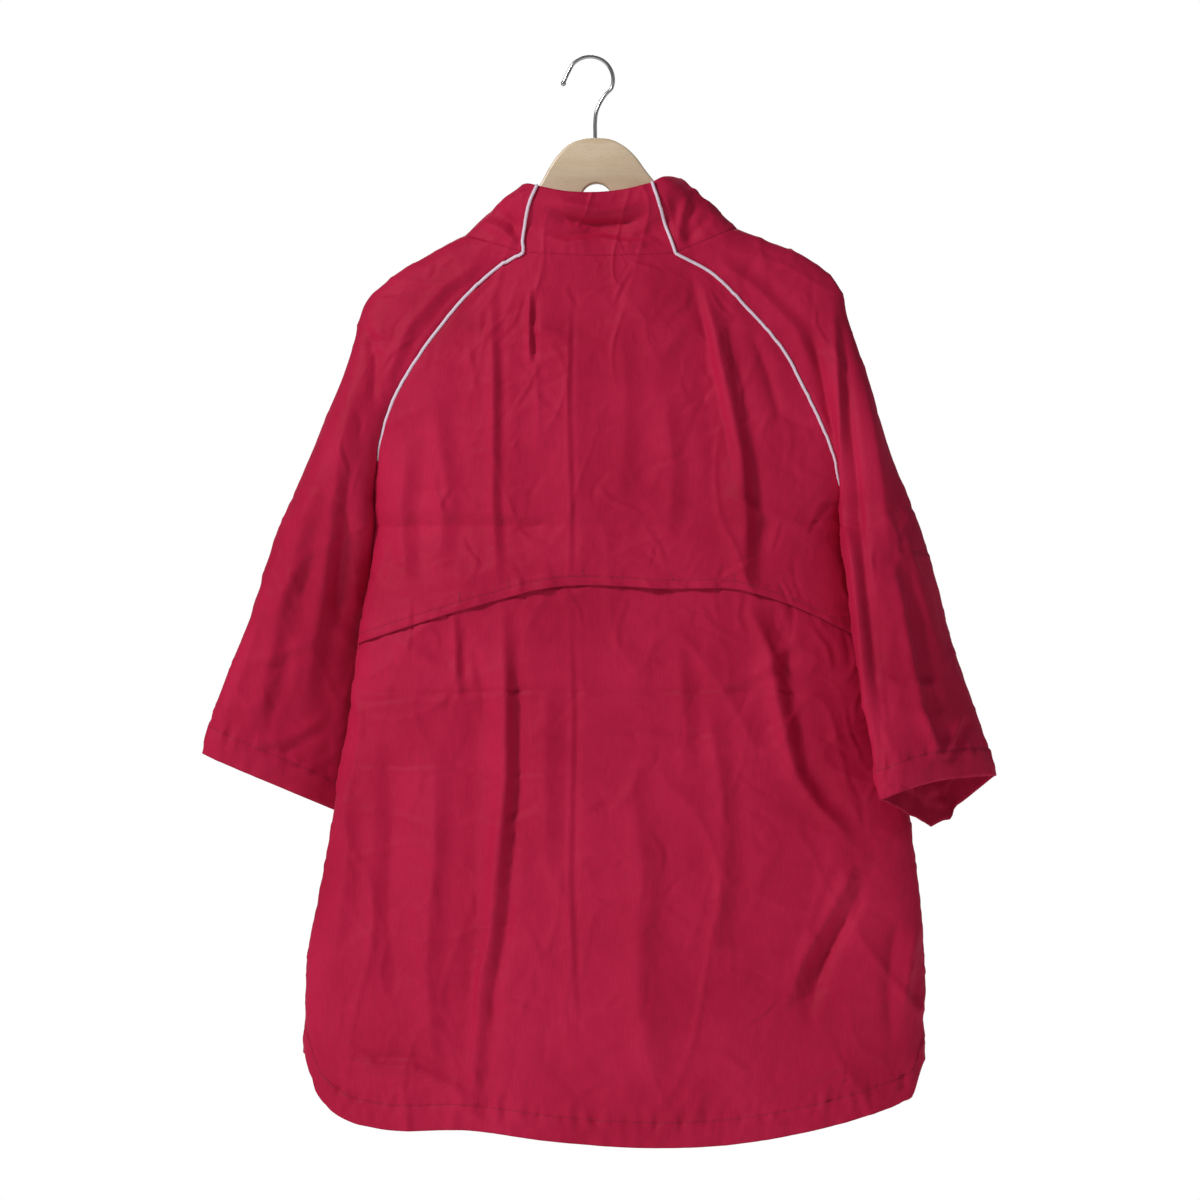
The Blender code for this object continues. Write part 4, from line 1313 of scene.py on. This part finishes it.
def join(one, other, one_column, other_column):
    """Moves an edge column of each of two grids to the mean of both."""
    mean = (one[:, one_column] + other[:, other_column]) / 2
    for grid, column in ((one, one_column), (other, other_column)):
        move = mean - grid[:, column]
        for step in range(SEAM_REACH):
            share_of = (1 - step / SEAM_REACH) ** 2
            grid[:, column - step if column else step] += move * share_of


def share(one, other):
    """Gives two pieces their mean normal along a seam, where they don't fold on each other."""
    mean = unit(one + other)
    alike = ease((np.sum(one * other, axis=-1, keepdims=True) - 0.1) / 0.5)
    one[:] = unit(one * (1 - alike) + mean * alike)
    other[:] = unit(other * (1 - alike) + mean * alike)


# ---------------------------------------------------------------- the pieces
def row_at(points, distance_up):
    """A line across a grid at one distance above its lower edge."""
    _, bottom, _, _ = edge_distance(points)
    line = np.empty((points.shape[1], 3))
    for j in range(points.shape[1]):
        away = bottom[::-1, j]
        for k in range(3):
            line[j, k] = np.interp(distance_up, away, points[::-1, j, k])
    return line


def build_cloth(points, outward):
    cloth, thread_cloth = taffeta(), thread()
    sewn = {
        "back_yoke": stitch_yoke(points, outward, thread_cloth),
        "back_panel": [stitch_hem("back_panel", TAIL_HEM, points, outward, thread_cloth)],
        "front_panel": [stitch_hem("front_panel", TAIL_HEM, points, outward, thread_cloth)],
        "sleeve_left": [stitch_hem("sleeve_left", CUFF_HEM, points, outward, thread_cloth)],
        "sleeve_right": [stitch_hem("sleeve_right", CUFF_HEM, points, outward, thread_cloth)],
    }
    for name, grid in points.items():
        piece = shell(f"{name}_cloth", grid, outward[name], cloth)
        for stitch in sewn.get(name, []):
            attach(stitch, "root")
        settle(piece, name)


def stitch_hem(name, width, points, outward, material):
    line = row_at(points[name], width)
    normals = normals_near(points[name], outward[name], line)
    return stitches(f"{name}_hem_stitches", line, normals, material)


def normals_near(points, outward, line):
    """The normals of a grid at a line across it, column by column."""
    made = np.empty_like(line)
    for j in range(points.shape[1]):
        nearest = np.argmin(np.linalg.norm(points[:, j] - line[j], axis=-1))
        made[j] = outward[nearest, j]
    return made


def stitch_yoke(points, outward, material):
    grid, facing = points["back_yoke"], outward["back_yoke"]
    line = row_at(grid, YOKE_STITCH_UP)
    made = [stitches("yoke_topstitch", line, normals_near(grid, facing, line), material)]
    for index, x in enumerate(BARTACKS_X):
        column = int(np.argmin(np.abs(line[:, 0] - x)))
        foot = np.argmin(np.abs(grid[:, column, 2] - line[column, 2]))
        rows = np.arange(foot, foot - BARTACK_ROWS, -1)
        name = f"yoke_tack_{index + 1}"
        made.append(
            stitches(name, grid[rows, column], facing[rows, column], material, pitch=1.2, size=2.2)
        )
    return made


def build_piping(points, outward):
    finish = piping_cloth()
    for side in ("left", "right"):
        sleeve, normals = points[f"sleeve_{side}"], outward[f"sleeve_{side}"]
        for face, column in (("back", 0), ("front", -1)):
            rows = int(RAGLAN_CELLS * PIPING_END[f"{face}_{side}"] / RAGLAN_STATIONS) + 1
            line = sleeve[:rows, column] + normals[:rows, column] * (PIPING_RADIUS + PIPING_LIFT)
            settle_piping(f"piping_raglan_{face}_{side}", line, finish)
        collar, normals = points[f"collar_{side}"], outward[f"collar_{side}"]
        line = collar[:, 0] + normals[:, 0] * (PIPING_RADIUS + PIPING_LIFT)
        settle_piping(f"piping_collar_{side}", line, finish)


def settle_piping(name, line, finish):
    made = tube(f"{name}_cord", even_line(line, 1.6), PIPING_RADIUS, 14, finish)
    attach(made, "root")
    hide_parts(name)


def wood_outline():
    """The hanger's closed outline as (x, z) points, with smooth stretches between corners."""
    (left_x, left_z), (right_x, right_z) = WOOD_TOP[0], WOOD_TOP[-1]
    crown = [
        (ARCH_X + ARCH_RADIUS * math.cos(turn),
         ARCH_TOP_Z - ARCH_RADIUS + ARCH_RADIUS * math.sin(turn))
        for turn in np.linspace(0, math.pi, 33)
    ]
    right_under = [(right_x - 1, right_z - WOOD_ARM_HEIGHT), *WOOD_UNDER_RIGHT]
    right_under.append((ARCH_X + ARCH_RADIUS, ARCH_FOOT_Z))
    left_under = [(ARCH_X - ARCH_RADIUS, ARCH_FOOT_Z), *WOOD_UNDER_LEFT]
    left_under.append((left_x + 1, left_z - WOOD_ARM_HEIGHT))
    return [
        *even_line(WOOD_TOP, 2.5),
        *even_line(right_under, 4.0),
        *crown,
        *even_line(left_under, 4.0),
    ]


def build_wood():
    shape = bmesh.new()
    half = WOOD_THICKNESS / 2
    ring = [shape.verts.new((x * MM, -half * MM, z * MM)) for x, z in wood_outline()]
    face = shape.faces.new(ring)
    grown = bmesh.ops.extrude_face_region(shape, geom=[face])
    moved = [item for item in grown["geom"] if isinstance(item, bmesh.types.BMVert)]
    bmesh.ops.translate(shape, verts=moved, vec=(0, WOOD_THICKNESS * MM, 0))
    bmesh.ops.recalc_face_normals(shape, faces=shape.faces[:])
    rims = [edge for edge in shape.edges if edge.calc_face_angle(0) > math.radians(60)]
    bmesh.ops.bevel(
        shape, geom=rims, offset=WOOD_EDGE * MM, segments=6, profile=0.5, affect="EDGES",
        clamp_overlap=True,
    )
    mesh = bpy.data.meshes.new("wooden_hanger")
    shape.to_mesh(mesh)
    shape.free()
    mesh.shade_smooth()
    mesh.set_sharp_from_angle(angle=math.radians(35))
    wood = bpy.data.objects.new("wooden_hanger", mesh)
    mesh.materials.append(beech())
    bpy.context.scene.collection.objects.link(wood)
    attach(wood, "root")
    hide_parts("hanger_wood")


def build_hook():
    centre_z = WIRE_RADIUS - HOOK_RADIUS
    bend = [
        (HOOK_RADIUS * math.cos(turn), centre_z + HOOK_RADIUS * math.sin(turn))
        for turn in np.radians(np.linspace(*HOOK_BEND_DEG, 41))
    ]
    route = HOOK_SHANK + HOOK_NECK + bend + HOOK_NOSE
    line = even_line([(x, 0, z) for x, z in route], 0.8)
    metal = plated_wire()
    hook = tube("hook_wire", line, WIRE_RADIUS, 24, metal)
    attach(hook, "root")
    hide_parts("hanger_hook")
    ball = ball_mesh("hook_tip", line[-1], TIP_RADIUS, metal)
    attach(ball, "root")


def ball_mesh(name, centre, radius, material):
    """The ball that ends the wire, drawn out a little along it."""
    shape = bmesh.new()
    bmesh.ops.create_uvsphere(shape, u_segments=28, v_segments=18, radius=radius * MM)
    for vert in shape.verts:
        vert.co.z *= 1.15
        vert.co += Vector(centre) * MM
    mesh = bpy.data.meshes.new(name)
    shape.to_mesh(mesh)
    shape.free()
    mesh.shade_smooth()
    mesh.materials.append(material)
    made = bpy.data.objects.new(name, mesh)
    bpy.context.scene.collection.objects.link(made)
    return made


# ---------------------------------------------------------------- the studio
def build_camera():
    data = bpy.data.cameras.new("camera")
    data.sensor_width = SENSOR_WIDTH
    data.lens = SENSOR_WIDTH / 2 / math.tan(math.atan(VIEW_WIDTH / 2 / (VIEW_DISTANCE - VIEW_PLANE)))
    data.clip_end = 50.0
    camera = bpy.data.objects.new("camera", data)
    camera.location = (VIEW_X, -VIEW_DISTANCE, VIEW_Z)
    camera.rotation_euler = (math.pi / 2, 0, 0)
    bpy.context.scene.collection.objects.link(camera)
    bpy.context.scene.camera = camera


def area_light(name, place, size, watts):
    data = bpy.data.lights.new(name, "AREA")
    data.shape = "RECTANGLE"
    data.size, data.size_y = size
    data.energy = watts
    lamp = bpy.data.objects.new(name, data)
    lamp.location = place
    direction = Vector(LAMP_AIM) - Vector(place)
    lamp.rotation_euler = direction.to_track_quat("-Z", "Y").to_euler()
    bpy.context.scene.collection.objects.link(lamp)


def build_studio():
    """A white world that gives only a soft fill, the lamps and the floor."""
    world = bpy.data.worlds.new("studio")
    bpy.context.scene.world = world
    world.use_nodes = True
    tree = world.node_tree
    seen = tree.nodes["Background"]
    set_inputs(seen, Color=WHITE, Strength=1.0)
    fill = node(tree, "ShaderNodeBackground", Color=WHITE, Strength=WORLD_FILL)
    path = tree.nodes.new("ShaderNodeLightPath")
    mix = tree.nodes.new("ShaderNodeMixShader")
    tree.links.new(path.outputs["Is Camera Ray"], mix.inputs[0])
    tree.links.new(fill.outputs[0], mix.inputs[1])
    tree.links.new(seen.outputs[0], mix.inputs[2])
    tree.links.new(mix.outputs[0], tree.nodes["World Output"].inputs["Surface"])
    for lamp in LAMPS:
        area_light(*lamp)
    bpy.ops.mesh.primitive_circle_add(
        vertices=96, radius=FLOOR_RADIUS, fill_type="NGON", location=(0, 0, FLOOR_Z)
    )
    floor = bpy.context.object
    floor.name = "floor"
    floor.data.materials.append(pale_floor())
    view = bpy.context.scene.view_settings
    view.view_transform = "Standard"
    view.look = "None"


build_camera()
sheet_points, sheet_outward = make_sheets()
build_cloth(sheet_points, sheet_outward)
build_piping(sheet_points, sheet_outward)
build_wood()
build_hook()
build_studio()

bpy.context.view_layer.update()
